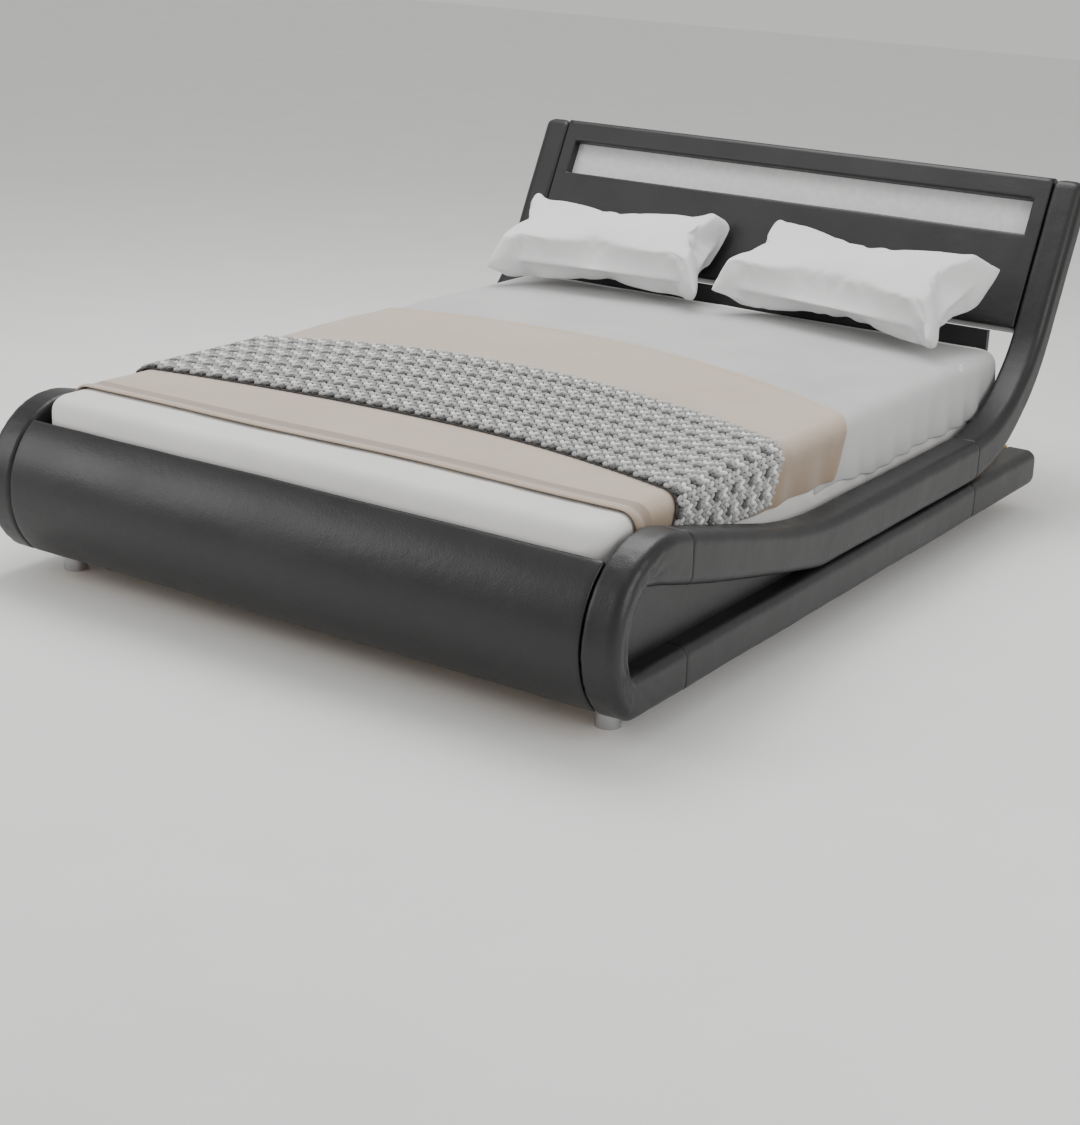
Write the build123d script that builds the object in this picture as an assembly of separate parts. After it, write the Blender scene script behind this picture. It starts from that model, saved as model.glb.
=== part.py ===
from build123d import *
from math import asin, cos, degrees, radians, sin, sqrt, tan
import os

# Upholstered sleigh bed with a lit headboard window, for a queen mattress.
# Millimetres. +X runs across the bed, +Y from the foot to the head, +Z up.
# The origin is on the floor under the middle of the bed.
# Side outlines are drawn with u, the distance from the front of the footboard, and v, the height.

# ---- Mattress, which the bed is sized from ----
MATTRESS_WIDTH = 1500.0
MATTRESS_LENGTH = 2000.0
MATTRESS_THICKNESS = 230.0
MATTRESS_CORNER = 60.0
MATTRESS_EDGE = 30.0
SIDE_GAP = 18.0              # mattress to each side
END_GAP = 2.0                # mattress to the footboard's inner face, and to the rear cross rail

# ---- Overall sizes ----
BED_HEIGHT = 862.0           # floor to the headboard's rounded top edge
SIDE_THICKNESS = 82.0        # each upholstered side, across the bed
FOOTBOARD_DEPTH = 88.0       # front of the footboard to its inner face
FOOT_HEIGHT = 60.0
RAIL_HEIGHT = 98.0
ARM_HEIGHT = 268.0           # top of the armrest along the middle of the bed
SHADOW_GAP = 4.0             # between the armrest and the lower rail

# ---- Curl at the foot ----
CURL_RADIUS = 196.0
CURL_CENTRE_HEIGHT = 218.0
CURL_WALL = 60.0             # from the front of the curl to the niche behind it
ARM_SLOPE = 13.5             # degrees, fall of the armrest behind the curl
ARM_SWEEP = 1436.0           # radius where the falling armrest levels out
NICHE_START_ANGLE = 126.0    # degrees round the curl where the niche's upper edge begins
NICHE_LENGTH = 684.0         # from the curl's centre to where the niche's upper edge runs level
NICHE_SAG = 8.0
SIDE_BOARD = 10.0
BOARD_LAP = 1.0              # how far the recessed board laps the gusset behind it

# ---- Headboard ----
LEAN = 26.0                  # degrees from upright
PANEL_CLEARANCE = 9.6        # head end of the mattress to the leaning face's lower edge
PANEL_BOTTOM = 490.0         # height of that lower edge
PANEL_THICKNESS = 60.0
PANEL_GAP = 1.0              # seam between a wide panel and the side beside it
WING_THICKNESS = 78.0
WING_FRONT_SWEEP = 430.0
WING_BACK_SWEEP = 520.0
WINDOW_INSET = 43.0
WINDOW_DROP = 65.0
WINDOW_HEIGHT = 98.0
WINDOW_DEPTH = 30.0
LINING = 4.0
DIFFUSER_THICKNESS = 4.0
FRONT_BOARD = 6.0
BACK_PANEL = 4.0
POST_WIDTH = 37.0
RAIL_WIDTH = 46.0
LED_WIDTH = 10.0
LED_THICKNESS = 2.0
LOWER_BOARD_THICKNESS = 18.0
LOWER_BOARD_INSET = 68.0     # from each side's inner face

# ---- Power inlet in the back panel ----
INLET_INSET = 145.0          # from the end of the window
INLET_RADIUS = 8.0
INLET_FLANGE = 4.0           # how far the flange stands out round the body
INLET_FLANGE_THICKNESS = 2.0
INLET_DEPTH = 10.0           # in front of the back panel
INLET_SOCKET_RADIUS = 3.2
INLET_SOCKET_DEPTH = 7.0
INLET_PIN_RADIUS = 1.0

# ---- Upholstery and joints ----
PAD = 14.0                   # foam and leather over the wood
OUTER_ROUND = 24.0
INNER_ROUND = 12.0
CURL_LOW_ROUND = 22.0
TAIL_ROUND = 26.0
WING_TOP_ROUND = 20.0
WING_BACK_ROUND = 40.0
NICHE_ROUND = 18.0
FOOTBOARD_ROUND = 28.0
CURL_TO_JOINT = 84.0         # from the curl's centre back to where the side begins
HEAD_TO_JOINT = 350.0        # from the mattress's head end forward to the headboard assembly's joint
TAIL_OVERHANG = 13.0         # of the tail behind the rear cross rail
GUSSET_LENGTH = 110.0
GUSSET_BITE = 6.0            # how deep the gusset runs into the wood below
GUSSET_RISE = 14.0           # and into the wood above, where the wing curves away
GUSSET_THICKNESS = 20.0
RIB_THICKNESS = 18.0
RIB_COUNT = 7

# ---- Mattress support ----
SLAT_RISE = 138.0            # top of the slats above the lower rail's underside
SLAT_THICKNESS = 15.0
SLAT_WIDTH = 68.0
SLAT_COUNT = 15
LEDGER_THICKNESS = 20.0
LEDGER_DEPTH = 53.0
BEAM_WIDTH = 40.0
BEAM_DEPTH = 50.0
BEAM_WALL = 3.0
CROSS_RAIL_THICKNESS = 30.0
CROSS_RAIL_LIFT = 10.0       # underside of the front cross rail above the rail's
REAR_RAIL_THICKNESS = 60.0
BASE_GAP = 4.0               # free play round the front cross rail, ledgers and slats
STRAP_WIDTH = 30.0
STRAP_THICKNESS = 0.8
STRAP_OFFSET = 380.0

# ---- Feet ----
FOOT_RADIUS = 27.5
FOOT_WALL = 3.0
FOOT_CAP = 6.0
STUD_RADIUS = 4.0
STUD_LENGTH = 26.0
FRONT_FOOT_INSET = 28.0      # from the side's inner face
FRONT_FOOT_SETBACK = 48.0    # from the back of the front cross rail
REAR_FOOT_INSET = 268.0
LEG_RADIUS = 19.0
LEG_WALL = 2.0
LEG_COUNT = 3
LEG_BOTTOM = 26.0
LEG_PLUG = 10.0
LEVELLER_RADIUS = 5.0
LEVELLER_CLEARANCE = 0.06
LEVELLER_PAD_RADIUS = 20.0
LEVELLER_PAD = 8.0
LEVELLER_STEM = 52.0

# ---- Fasteners ----
PLATE_THICKNESS = 4.0
PLATE_LENGTH = 110.0
PLATE_LIFT = 6.0             # above the lower rail's underside
PLATE_CLEARANCE = 8.0        # below the ledger
BOLT_RADIUS = 4.0
BOLT_HEAD_RADIUS = 7.0
BOLT_HEAD = 4.0
BOLT_LENGTH = 34.0
BLOCK_LENGTH = 90.0
BLOCK_WIDTH = 70.0
BLOCK_HEIGHT = 52.0

# ---- Bedding ----
SOFT_GAP = 0.3
FITTED_SHEET = 1.2
TOP_SHEET = 1.6
THROW = 5.0
TOP_SHEET_FRONT = 1000.0
TOP_SHEET_SETBACK = 50.0     # from the mattress's head end
TOP_SHEET_DROP = 150.0
THROW_FRONT = 205.0
THROW_BACK = 1400.0
THROW_DROP = 130.0
KNIT_FRONT = 440.0
KNIT_BACK = 980.0
KNIT_DROP = 120.0
PILLOW_DEPTH = 290.0         # from the mattress's head end to the pillow's front edge
PILLOW_HEIGHT = 223.0
PILLOW_SIDE_GAP = 25.0       # pillow to each wing
PILLOW_MIDDLE_GAP = 16.0
PILLOW_BACK_GAP = 14.0       # pillow to the leaning panel
PILLOW_CREST_DEPTH = 66.0    # how thick the pillow is at its crest
PILLOW_CREST_ROUND = 30.0
PILLOW_LOW_SHARE = 0.25      # share of its height where its back meets the panel's line
PILLOW_FRONT_SHARE = 0.5     # share of its height where its front face ends
PILLOW_ROUND = 40.0

# ---- Sizes that follow ----
SIDES = {"left": -1, "right": 1}
INNER_FACE = MATTRESS_WIDTH / 2 + SIDE_GAP
OUTER_FACE = INNER_FACE + SIDE_THICKNESS
SIDE_MIDDLE = (INNER_FACE + OUTER_FACE) / 2
BED_WIDTH = 2 * OUTER_FACE
RAIL_TOP = FOOT_HEIGHT + RAIL_HEIGHT
ARM_BOTTOM = RAIL_TOP + SHADOW_GAP
SPLIT_HEIGHT = RAIL_TOP + SHADOW_GAP / 2
CURL_JOINT = CURL_RADIUS + CURL_TO_JOINT
NICHE_END = CURL_RADIUS + NICHE_LENGTH

MATTRESS_FRONT = FOOTBOARD_DEPTH + END_GAP
MATTRESS_END = MATTRESS_FRONT + MATTRESS_LENGTH
HEAD_JOINT = MATTRESS_END - HEAD_TO_JOINT
FRONT_RAIL = FOOTBOARD_DEPTH + BASE_GAP     # front face of the front cross rail
BAY_FRONT = FRONT_RAIL + CROSS_RAIL_THICKNESS
BAY_END = MATTRESS_END + END_GAP            # front face of the rear cross rail
REAR_RAIL_MIDDLE = BAY_END + REAR_RAIL_THICKNESS / 2
TAIL_END = BAY_END + REAR_RAIL_THICKNESS + TAIL_OVERHANG

LEAN_RISE = cos(radians(LEAN))
LEAN_RUN = sin(radians(LEAN))
CORNER_LOSS = LEAN_RISE + LEAN_RUN - 1      # how far a rounded square corner falls short, per radius
TURN = 90 - LEAN
HEADBOARD_HEIGHT = BED_HEIGHT + PAD * CORNER_LOSS
TOP_FRONT = MATTRESS_END + PANEL_CLEARANCE + (HEADBOARD_HEIGHT - PANEL_BOTTOM) * tan(radians(LEAN))
BED_LENGTH = TOP_FRONT + WING_THICKNESS * LEAN_RISE - WING_BACK_ROUND * CORNER_LOSS
FRONT = -BED_LENGTH / 2

SLAT_TOP = FOOT_HEIGHT + SLAT_RISE
SLAT_BOTTOM = SLAT_TOP - SLAT_THICKNESS
LEDGER_BOTTOM = SLAT_BOTTOM - LEDGER_DEPTH
BEAM_BOTTOM = SLAT_BOTTOM - BEAM_DEPTH
PLATE_BOTTOM = FOOT_HEIGHT + PLATE_LIFT
PLATE_HEIGHT = LEDGER_BOTTOM - PLATE_CLEARANCE - PLATE_BOTTOM
FRONT_FOOT = (INNER_FACE - FRONT_FOOT_INSET, BAY_FRONT + FRONT_FOOT_SETBACK)
REAR_FOOT = (INNER_FACE - REAR_FOOT_INSET, REAR_RAIL_MIDDLE)
OVERCUT = 10.0               # how far a cutting shape runs past what it cuts


def save(name, shape):
    """Write one node; a list becomes a group of separate solids."""
    if isinstance(shape, list):
        shape = Compound(children=shape)
    export_step(shape, f"parts/{name}.step")


def block(x_range, u_range, v_range):
    """A box between pairs of X, u and v."""
    size = [b - a for a, b in (x_range, u_range, v_range)]
    middle = [(a + b) / 2 for a, b in (x_range, u_range, v_range)]
    return Pos(middle[0], middle[1] + FRONT, middle[2]) * Box(*size)


def upright(radius, x, u, v_range):
    """A vertical cylinder."""
    low, high = v_range
    return Pos(x, u + FRONT, (low + high) / 2) * Cylinder(radius, high - low)


def crosswise(radius, x_range, u, v):
    """A cylinder along X."""
    low, high = sorted(x_range)
    return Pos((low + high) / 2, u + FRONT, v) * Rot(0, 90, 0) * Cylinder(radius, high - low)


def on_side(face, x_range):
    """Extrude an outline in u and v across the bed, between two values of X."""
    return Pos(x_range[0], FRONT, 0) * extrude(face, x_range[1] - x_range[0], dir=(1, 0, 0))


def rectangle(u_range, v_range):
    """A flat rectangle in u and v."""
    size = [b - a for a, b in (u_range, v_range)]
    middle = [(a + b) / 2 for a, b in (u_range, v_range)]
    return Plane.YZ * Pos(*middle) * Rectangle(*size)


def corners_near(shape, points, reach=1.0):
    """The vertices of an outline that lie at the given u and v."""
    places = [(point.X, point.Y) if isinstance(point, Vector) else point for point in points]
    return [vertex for vertex in shape.vertices()
            if any(abs(vertex.Y - u) < reach and abs(vertex.Z - v) < reach for u, v in places)]


def lean_line_at(height, setback=0.0):
    """The distance u of the leaning front face at a height, or of a face set back behind it."""
    u = TOP_FRONT + setback * LEAN_RISE
    v = HEADBOARD_HEIGHT - setback * LEAN_RUN
    return u - (v - height) * tan(radians(LEAN))


def side_outline(inset=0.0):
    """The whole side: lower rail, curl, armrest and wing as one ribbon that bends round the niche.

    An inset draws the same outline that far inside the surface, for the wood under the padding.
    """
    centre = (CURL_RADIUS, CURL_CENTRE_HEIGHT)
    curl_radius = CURL_RADIUS - inset
    niche_radius = CURL_RADIUS - CURL_WALL + inset
    bottom, rail_top = FOOT_HEIGHT + inset, RAIL_TOP - inset
    arm_top, arm_bottom = ARM_HEIGHT - inset, ARM_BOTTOM + inset
    tail_end = TAIL_END - inset
    slope, turn = radians(ARM_SLOPE), radians(TURN)
    crest_u = CURL_RADIUS * (1 + sin(slope))
    crest_v = CURL_CENTRE_HEIGHT + CURL_RADIUS * cos(slope)
    level_u = crest_u + (crest_v - ARM_HEIGHT) / tan(slope) + ARM_SWEEP * tan(slope / 2)
    front_u = lean_line_at(ARM_HEIGHT) - WING_FRONT_SWEEP * tan(turn / 2)
    back_u = lean_line_at(ARM_BOTTOM, WING_THICKNESS) - WING_BACK_SWEEP * tan(turn / 2)
    top_front = headboard_corner(inset, inset)
    top_back = headboard_corner(WING_THICKNESS - inset, inset)
    curl_end = 180 + degrees(asin((CURL_CENTRE_HEIGHT - bottom) / curl_radius))
    niche_end = 180 + degrees(asin((CURL_CENTRE_HEIGHT - rail_top) / niche_radius))

    with BuildSketch(Plane.YZ) as sketch:
        with BuildLine():
            curl = CenterArc(centre, curl_radius, 90 - ARM_SLOPE, curl_end - 90 + ARM_SLOPE)
            sweep_centre = (level_u, ARM_HEIGHT + ARM_SWEEP)
            sweep = CenterArc(sweep_centre, ARM_SWEEP + inset, 270 - ARM_SLOPE, ARM_SLOPE)
            Line(curl @ 0, sweep @ 0)
            front_centre = (front_u, ARM_HEIGHT + WING_FRONT_SWEEP)
            front_sweep = CenterArc(front_centre, WING_FRONT_SWEEP + inset, 270, TURN)
            Line(sweep @ 1, front_sweep @ 0)
            Line(front_sweep @ 1, top_front)
            Line(top_front, top_back)
            back_centre = (back_u, ARM_BOTTOM + WING_BACK_SWEEP)
            back_sweep = CenterArc(back_centre, WING_BACK_SWEEP - inset, 270, TURN)
            Line(top_back, back_sweep @ 1)
            Line(back_sweep @ 0, (NICHE_END, arm_bottom))
            niche = CenterArc(centre, niche_radius, NICHE_START_ANGLE, niche_end - NICHE_START_ANGLE)
            middle = ((NICHE_END + (niche @ 0).X) / 2, (arm_bottom + (niche @ 0).Y) / 2 - NICHE_SAG)
            ThreePointArc((NICHE_END, arm_bottom), middle, niche @ 0)
            Line(niche @ 1, (tail_end, rail_top))
            Line((tail_end, rail_top), (tail_end, bottom))
            Line((tail_end, bottom), curl @ 1)
        make_face()
    rounds = [(CURL_LOW_ROUND - inset, [curl @ 1]),
              (TAIL_ROUND - inset, [(tail_end, rail_top), (tail_end, bottom)]),
              (WING_TOP_ROUND - inset, [top_front]), (WING_BACK_ROUND - inset, [top_back]),
              (NICHE_ROUND + inset, [niche @ 0, niche @ 1])]
    face = sketch.sketch
    for radius, points in rounds:
        face = fillet(corners_near(face, points), radius)
    return face


def headboard_corner(setback, drop):
    """u and v of a point behind the headboard's face and down from its top edge."""
    return (TOP_FRONT + setback * LEAN_RISE - drop * LEAN_RUN,
            HEADBOARD_HEIGHT - setback * LEAN_RUN - drop * LEAN_RISE)


def footboard_outline(inset=0.0):
    """The footboard's section: the front of the curl, cut off by its flat inner face."""
    radius, depth = CURL_RADIUS - inset, FOOTBOARD_DEPTH - inset
    disc = Plane.YZ * Pos(CURL_RADIUS, CURL_CENTRE_HEIGHT) * Circle(radius)
    face = disc & rectangle((-OVERCUT, depth), (FOOT_HEIGHT + inset, CURL_CENTRE_HEIGHT + CURL_RADIUS))
    half = sqrt(radius**2 - (CURL_RADIUS - depth)**2)
    return fillet(corners_near(face, [(depth, CURL_CENTRE_HEIGHT + half)]), FOOTBOARD_ROUND - inset)


def zone(name):
    """The stretch of the side outline that belongs to one upholstered section."""
    low, high = FOOT_HEIGHT - OVERCUT, HEADBOARD_HEIGHT + OVERCUT
    front, middle = (-OVERCUT, CURL_JOINT), (CURL_JOINT, HEAD_JOINT)
    back = (HEAD_JOINT, BED_LENGTH + OVERCUT)
    stretches = {
        "curl": (front, (low, high)),
        "arm": (middle, (SPLIT_HEIGHT, high)),
        "rail": (middle, (low, SPLIT_HEIGHT)),
        "wing": (back, (SPLIT_HEIGHT, high)),
        "tail": (back, (low, SPLIT_HEIGHT)),
    }
    return rectangle(*stretches[name])


def on_joint(edge):
    """True for an edge that lies in a joint face, which stays crisp."""
    ends = ((edge @ 0).Y - FRONT, (edge @ 1).Y - FRONT)
    return any(abs(ends[0] - joint) < 0.1 and abs(ends[1] - joint) < 0.1
               for joint in (CURL_JOINT, HEAD_JOINT))


def face_edges(solid, x):
    """The edges that run round a section's outline in its face at one value of X."""
    return [edge for edge in solid.edges()
            if abs((edge @ 0).X - x) < 0.1 and abs((edge @ 1).X - x) < 0.1
            and abs((edge @ 0.5).X - x) < 0.1 and not on_joint(edge)]


def padded_section(face):
    """The outer form of an upholstered section of the right side, with rounded edges."""
    solid = on_side(face, (INNER_FACE, OUTER_FACE)).solid()
    solid = fillet(face_edges(solid, OUTER_FACE), OUTER_ROUND).solid()
    return fillet(face_edges(solid, INNER_FACE), INNER_ROUND).solid()


def side_pieces():
    """Covers and wooden cores of the right side, by name."""
    outline, inner = side_outline(), side_outline(PAD)
    pieces = {}
    for name in ("curl", "arm", "rail", "wing", "tail"):
        core = on_side(inner & zone(name), (INNER_FACE + PAD, OUTER_FACE - PAD)).solid()
        pieces[f"{name}_cover"] = (padded_section(outline & zone(name)) - core).solid()
        pieces[f"{name}_core"] = core
    gusset = gusset_plate()
    pieces["headboard_side_frame"] = (pieces.pop("wing_core") + pieces.pop("tail_core") + gusset).solid()
    pieces["wing_cover"] = (pieces["wing_cover"] - gusset).solid()
    pieces["tail_cover"] = (pieces["tail_cover"] - gusset).solid()
    pieces["side_board"] = side_board(outline)
    return pieces


def gusset_plate():
    """The plywood web that ties the wing to the tail below it."""
    return block((SIDE_MIDDLE - GUSSET_THICKNESS / 2, SIDE_MIDDLE + GUSSET_THICKNESS / 2),
                 (HEAD_JOINT, HEAD_JOINT + GUSSET_LENGTH),
                 (RAIL_TOP - PAD - GUSSET_BITE, ARM_BOTTOM + PAD + GUSSET_RISE))


def side_board(outline):
    """The recessed board that closes the niche between the armrest and the lower rail."""
    room = rectangle((CURL_WALL / 2, HEAD_JOINT), (RAIL_TOP, CURL_CENTRE_HEIGHT + CURL_RADIUS))
    leftover = room - outline
    board = min(leftover.faces(), key=lambda face: face.center().Z)
    x_high = SIDE_MIDDLE - GUSSET_THICKNESS / 2 + BOARD_LAP
    return on_side(board, (x_high - SIDE_BOARD, x_high)).solid()


def mirrored(shape):
    """The same piece for the left side."""
    return mirror(shape, about=Plane.YZ)


def bolt_places():
    """u and v of the bolts at the two joints of each lower rail."""
    height = PLATE_BOTTOM + PLATE_HEIGHT / 2
    return [(joint + along, height + up) for joint in (CURL_JOINT, HEAD_JOINT)
            for along in (-PLATE_LENGTH / 3, PLATE_LENGTH / 3) for up in (-PLATE_HEIGHT / 4, PLATE_HEIGHT / 4)]


def joint_plates():
    """Steel plates that span each joint on the inner face of the lower rails."""
    plates = []
    for joint in (CURL_JOINT, HEAD_JOINT):
        plate = block((INNER_FACE - PLATE_THICKNESS, INNER_FACE),
                      (joint - PLATE_LENGTH / 2, joint + PLATE_LENGTH / 2),
                      (PLATE_BOTTOM, PLATE_BOTTOM + PLATE_HEIGHT))
        for u, v in bolt_places():
            if abs(u - joint) < PLATE_LENGTH:
                plate -= crosswise(BOLT_RADIUS, (INNER_FACE - PLATE_THICKNESS, INNER_FACE), u, v)
        plates += [plate.solid(), mirrored(plate.solid())]
    return plates


def joint_bolts():
    """One bolt for each hole, its head against the plate."""
    bolts = []
    face = INNER_FACE - PLATE_THICKNESS
    for u, v in bolt_places():
        bolt = crosswise(BOLT_RADIUS, (face, face + BOLT_LENGTH), u, v)
        bolt += crosswise(BOLT_HEAD_RADIUS, (face - BOLT_HEAD, face), u, v)
        bolts += [bolt.solid(), mirrored(bolt.solid())]
    return bolts


def drilled(shape):
    """Cut the joint bolts' holes in a piece of the right side."""
    face = INNER_FACE - PLATE_THICKNESS
    for u, v in bolt_places():
        shape -= crosswise(BOLT_RADIUS, (face, face + BOLT_LENGTH), u, v)
    return shape.solid()


def headboard_box(x_range, drop_range, depth_range):
    """A box in the headboard's own frame: across, down its face, and back from its face."""
    size = [b - a for a, b in (x_range, drop_range, depth_range)]
    middle = [(a + b) / 2 for a, b in (x_range, drop_range, depth_range)]
    plane = Plane(origin=(0, TOP_FRONT + FRONT, HEADBOARD_HEIGHT), x_dir=(1, 0, 0),
                  z_dir=(0, -LEAN_RISE, LEAN_RUN))
    return plane * Pos(middle[0], -middle[1], -middle[2]) * Box(*size)


def headboard_pieces():
    """The leaning panel: padded cover, boards, rails, posts, window and light."""
    half = INNER_FACE - PANEL_GAP
    height = (HEADBOARD_HEIGHT - PANEL_BOTTOM) / LEAN_RISE
    window_x = INNER_FACE - WINDOW_INSET
    window = (WINDOW_DROP, WINDOW_DROP + WINDOW_HEIGHT)
    lined_x = window_x + LINING
    lined = (window[0] - LINING, window[1] + LINING)
    inside = (PAD, height - PAD)
    back = PANEL_THICKNESS

    cover = headboard_box((-half, half), (0, height), (0, back))
    edges = [edge for edge in cover.edges() if edge.length > half]
    front_edges = sorted(edges, key=lambda edge: edge.center().Y - edge.center().Z * tan(radians(LEAN)))[:2]
    cover = fillet(front_edges, PAD)
    cover -= headboard_box((-half, half), inside, (PAD, back))
    cover += headboard_box((-lined_x, lined_x), lined, (PAD, WINDOW_DEPTH))
    cover -= headboard_box((-window_x, window_x), window, (0, back))

    rail_front = PAD + FRONT_BOARD
    opening = headboard_box((-lined_x, lined_x), lined, (0, back))
    post_x = half - POST_WIDTH
    pieces = {
        "headboard_cover": cover.solid(),
        "headboard_front_board": (headboard_box((-half, half), inside, (PAD, rail_front)) - opening).solid(),
        "headboard_top_rail": headboard_box((-half, half), (inside[0], lined[0]), (rail_front, back)),
        "headboard_middle_rail": headboard_box((-post_x, post_x), (lined[1], lined[1] + RAIL_WIDTH),
                                               (rail_front, back)),
        "headboard_bottom_rail": headboard_box((-half, half), (inside[1] - RAIL_WIDTH, inside[1]),
                                               (rail_front, back)),
    }
    post = headboard_box((post_x, half), (lined[0], inside[1] - RAIL_WIDTH), (rail_front, back))
    pieces["headboard_posts"] = [post, mirrored(post)]
    pieces["light_diffuser"] = headboard_box((-lined_x, lined_x), lined,
                                             (WINDOW_DEPTH, WINDOW_DEPTH + DIFFUSER_THICKNESS))
    led_depth = (back + WINDOW_DEPTH + DIFFUSER_THICKNESS - LED_WIDTH) / 2
    pieces["led_strip"] = headboard_box((-window_x, window_x), (lined[0], lined[0] + LED_THICKNESS),
                                        (led_depth, led_depth + LED_WIDTH))

    inlet_at = (window_x - INLET_INSET, (lined[1] + inside[1]) / 2)
    panel_back = back + BACK_PANEL
    pieces["headboard_back_panel"] = (headboard_box((-half, half), inside, (back, panel_back))
                                      - headboard_pin(INLET_RADIUS, *inlet_at, (back, panel_back))).solid()
    pieces["power_inlet"] = power_inlet(inlet_at, back, panel_back)
    half_board = INNER_FACE - LOWER_BOARD_INSET
    pieces["headboard_lower_board"] = block((-half_board, half_board),
                                            (BAY_END, BAY_END + LOWER_BOARD_THICKNESS),
                                            (RAIL_TOP, PANEL_BOTTOM - LOWER_BOARD_THICKNESS))
    return pieces


def power_inlet(place, panel_front, panel_back):
    """The round low-voltage socket in the back panel, with its flange and centre pin."""
    flange_back = panel_back + INLET_FLANGE_THICKNESS
    inlet = headboard_pin(INLET_RADIUS, *place, (panel_front - INLET_DEPTH, panel_back))
    inlet += headboard_pin(INLET_RADIUS + INLET_FLANGE, *place, (panel_back, flange_back))
    inlet -= headboard_pin(INLET_SOCKET_RADIUS, *place, (panel_front - INLET_SOCKET_DEPTH, flange_back))
    pin = headboard_pin(INLET_PIN_RADIUS, *place, (panel_front - INLET_SOCKET_DEPTH, panel_back))
    return (inlet + pin).solid()


def headboard_pin(radius, x, drop, depth_range):
    """A cylinder square to the headboard's face."""
    low, high = depth_range
    plane = Plane(origin=(0, TOP_FRONT + FRONT, HEADBOARD_HEIGHT), x_dir=(1, 0, 0),
                  z_dir=(0, -LEAN_RISE, LEAN_RUN))
    return plane * Pos(x, -drop, -(low + high) / 2) * Cylinder(radius, high - low)


def footboard_pieces():
    """The curved front panel: a padded skin round evenly spaced plywood ribs."""
    outline, inner = footboard_outline(), footboard_outline(PAD)
    half = INNER_FACE - PANEL_GAP
    skin = on_side(outline, (-half, half)) - on_side(inner, (-half, half))
    pitch = (2 * half - RIB_THICKNESS) / (RIB_COUNT - 1)
    ribs = [on_side(inner, (-half + pitch * i, -half + pitch * i + RIB_THICKNESS)).solid()
            for i in range(RIB_COUNT)]
    return {"footboard_cover": skin.solid(), "footboard_ribs": ribs}


def base_pieces():
    """Cross rails, ledgers, centre beam, slats and the straps that space them."""
    ledger_u = (BAY_FRONT + BASE_GAP, BAY_END - BASE_GAP)
    beam = block((-BEAM_WIDTH / 2, BEAM_WIDTH / 2), (BAY_FRONT, BAY_END), (BEAM_BOTTOM, SLAT_BOTTOM))
    beam -= block((-BEAM_WIDTH / 2 + BEAM_WALL, BEAM_WIDTH / 2 - BEAM_WALL), (BAY_FRONT, BAY_END),
                  (BEAM_BOTTOM + BEAM_WALL, SLAT_BOTTOM - BEAM_WALL))
    ledger = block((INNER_FACE - LEDGER_THICKNESS, INNER_FACE), ledger_u, (LEDGER_BOTTOM, SLAT_BOTTOM))
    first, last = ledger_u[0], ledger_u[1] - SLAT_WIDTH
    pitch = (last - first) / (SLAT_COUNT - 1)
    slat_half = INNER_FACE - BASE_GAP
    slats = [block((-slat_half, slat_half), (first + pitch * i, first + pitch * i + SLAT_WIDTH),
                   (SLAT_BOTTOM, SLAT_TOP)) for i in range(SLAT_COUNT)]
    straps = [block((x - STRAP_WIDTH / 2, x + STRAP_WIDTH / 2), ledger_u,
                    (SLAT_BOTTOM - STRAP_THICKNESS, SLAT_BOTTOM)) for x in (-STRAP_OFFSET, STRAP_OFFSET)]
    return {
        "front_cross_rail": block((-INNER_FACE, INNER_FACE), (FRONT_RAIL, BAY_FRONT),
                                  (FOOT_HEIGHT + CROSS_RAIL_LIFT, SLAT_BOTTOM)),
        "rear_cross_rail": rear_cross_rail(),
        "centre_beam": beam.solid(),
        "left_ledger": mirrored(ledger),
        "right_ledger": ledger,
        "slats": slats,
        "slat_straps": straps,
        "corner_blocks": corner_blocks(),
    }


def rear_cross_rail():
    """The beam between the two tails, which carries the rear feet and the lower board."""
    rail = block((-INNER_FACE, INNER_FACE), (BAY_END, BAY_END + REAR_RAIL_THICKNESS),
                 (FOOT_HEIGHT, RAIL_TOP))
    for sign in SIDES.values():
        rail -= stud_hole(sign * REAR_FOOT[0], REAR_FOOT[1])
    return rail.solid()


def stud_hole(x, u):
    """The hole that a foot's stud screws into."""
    return upright(STUD_RADIUS, x, u, (FOOT_HEIGHT, FOOT_HEIGHT + STUD_LENGTH))


def corner_blocks():
    """Wooden blocks in the four inside corners of the base; the front two carry the feet."""
    x_range = (INNER_FACE - BLOCK_WIDTH, INNER_FACE)
    front = block(x_range, (BAY_FRONT, BAY_FRONT + BLOCK_LENGTH), (FOOT_HEIGHT, FOOT_HEIGHT + BLOCK_HEIGHT))
    front = (front - stud_hole(*FRONT_FOOT)).solid()
    rear = block(x_range, (BAY_END - BLOCK_LENGTH, BAY_END), (LEDGER_BOTTOM - BLOCK_HEIGHT, LEDGER_BOTTOM))
    return [front, mirrored(front), rear, mirrored(rear)]


def foot(x, u):
    """A metal cylinder foot, hollow between its caps, with its stud."""
    body = upright(FOOT_RADIUS, x, u, (0, FOOT_HEIGHT))
    body -= upright(FOOT_RADIUS - FOOT_WALL, x, u, (FOOT_CAP, FOOT_HEIGHT - FOOT_CAP))
    return (body + stud_hole(x, u)).solid()


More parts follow.
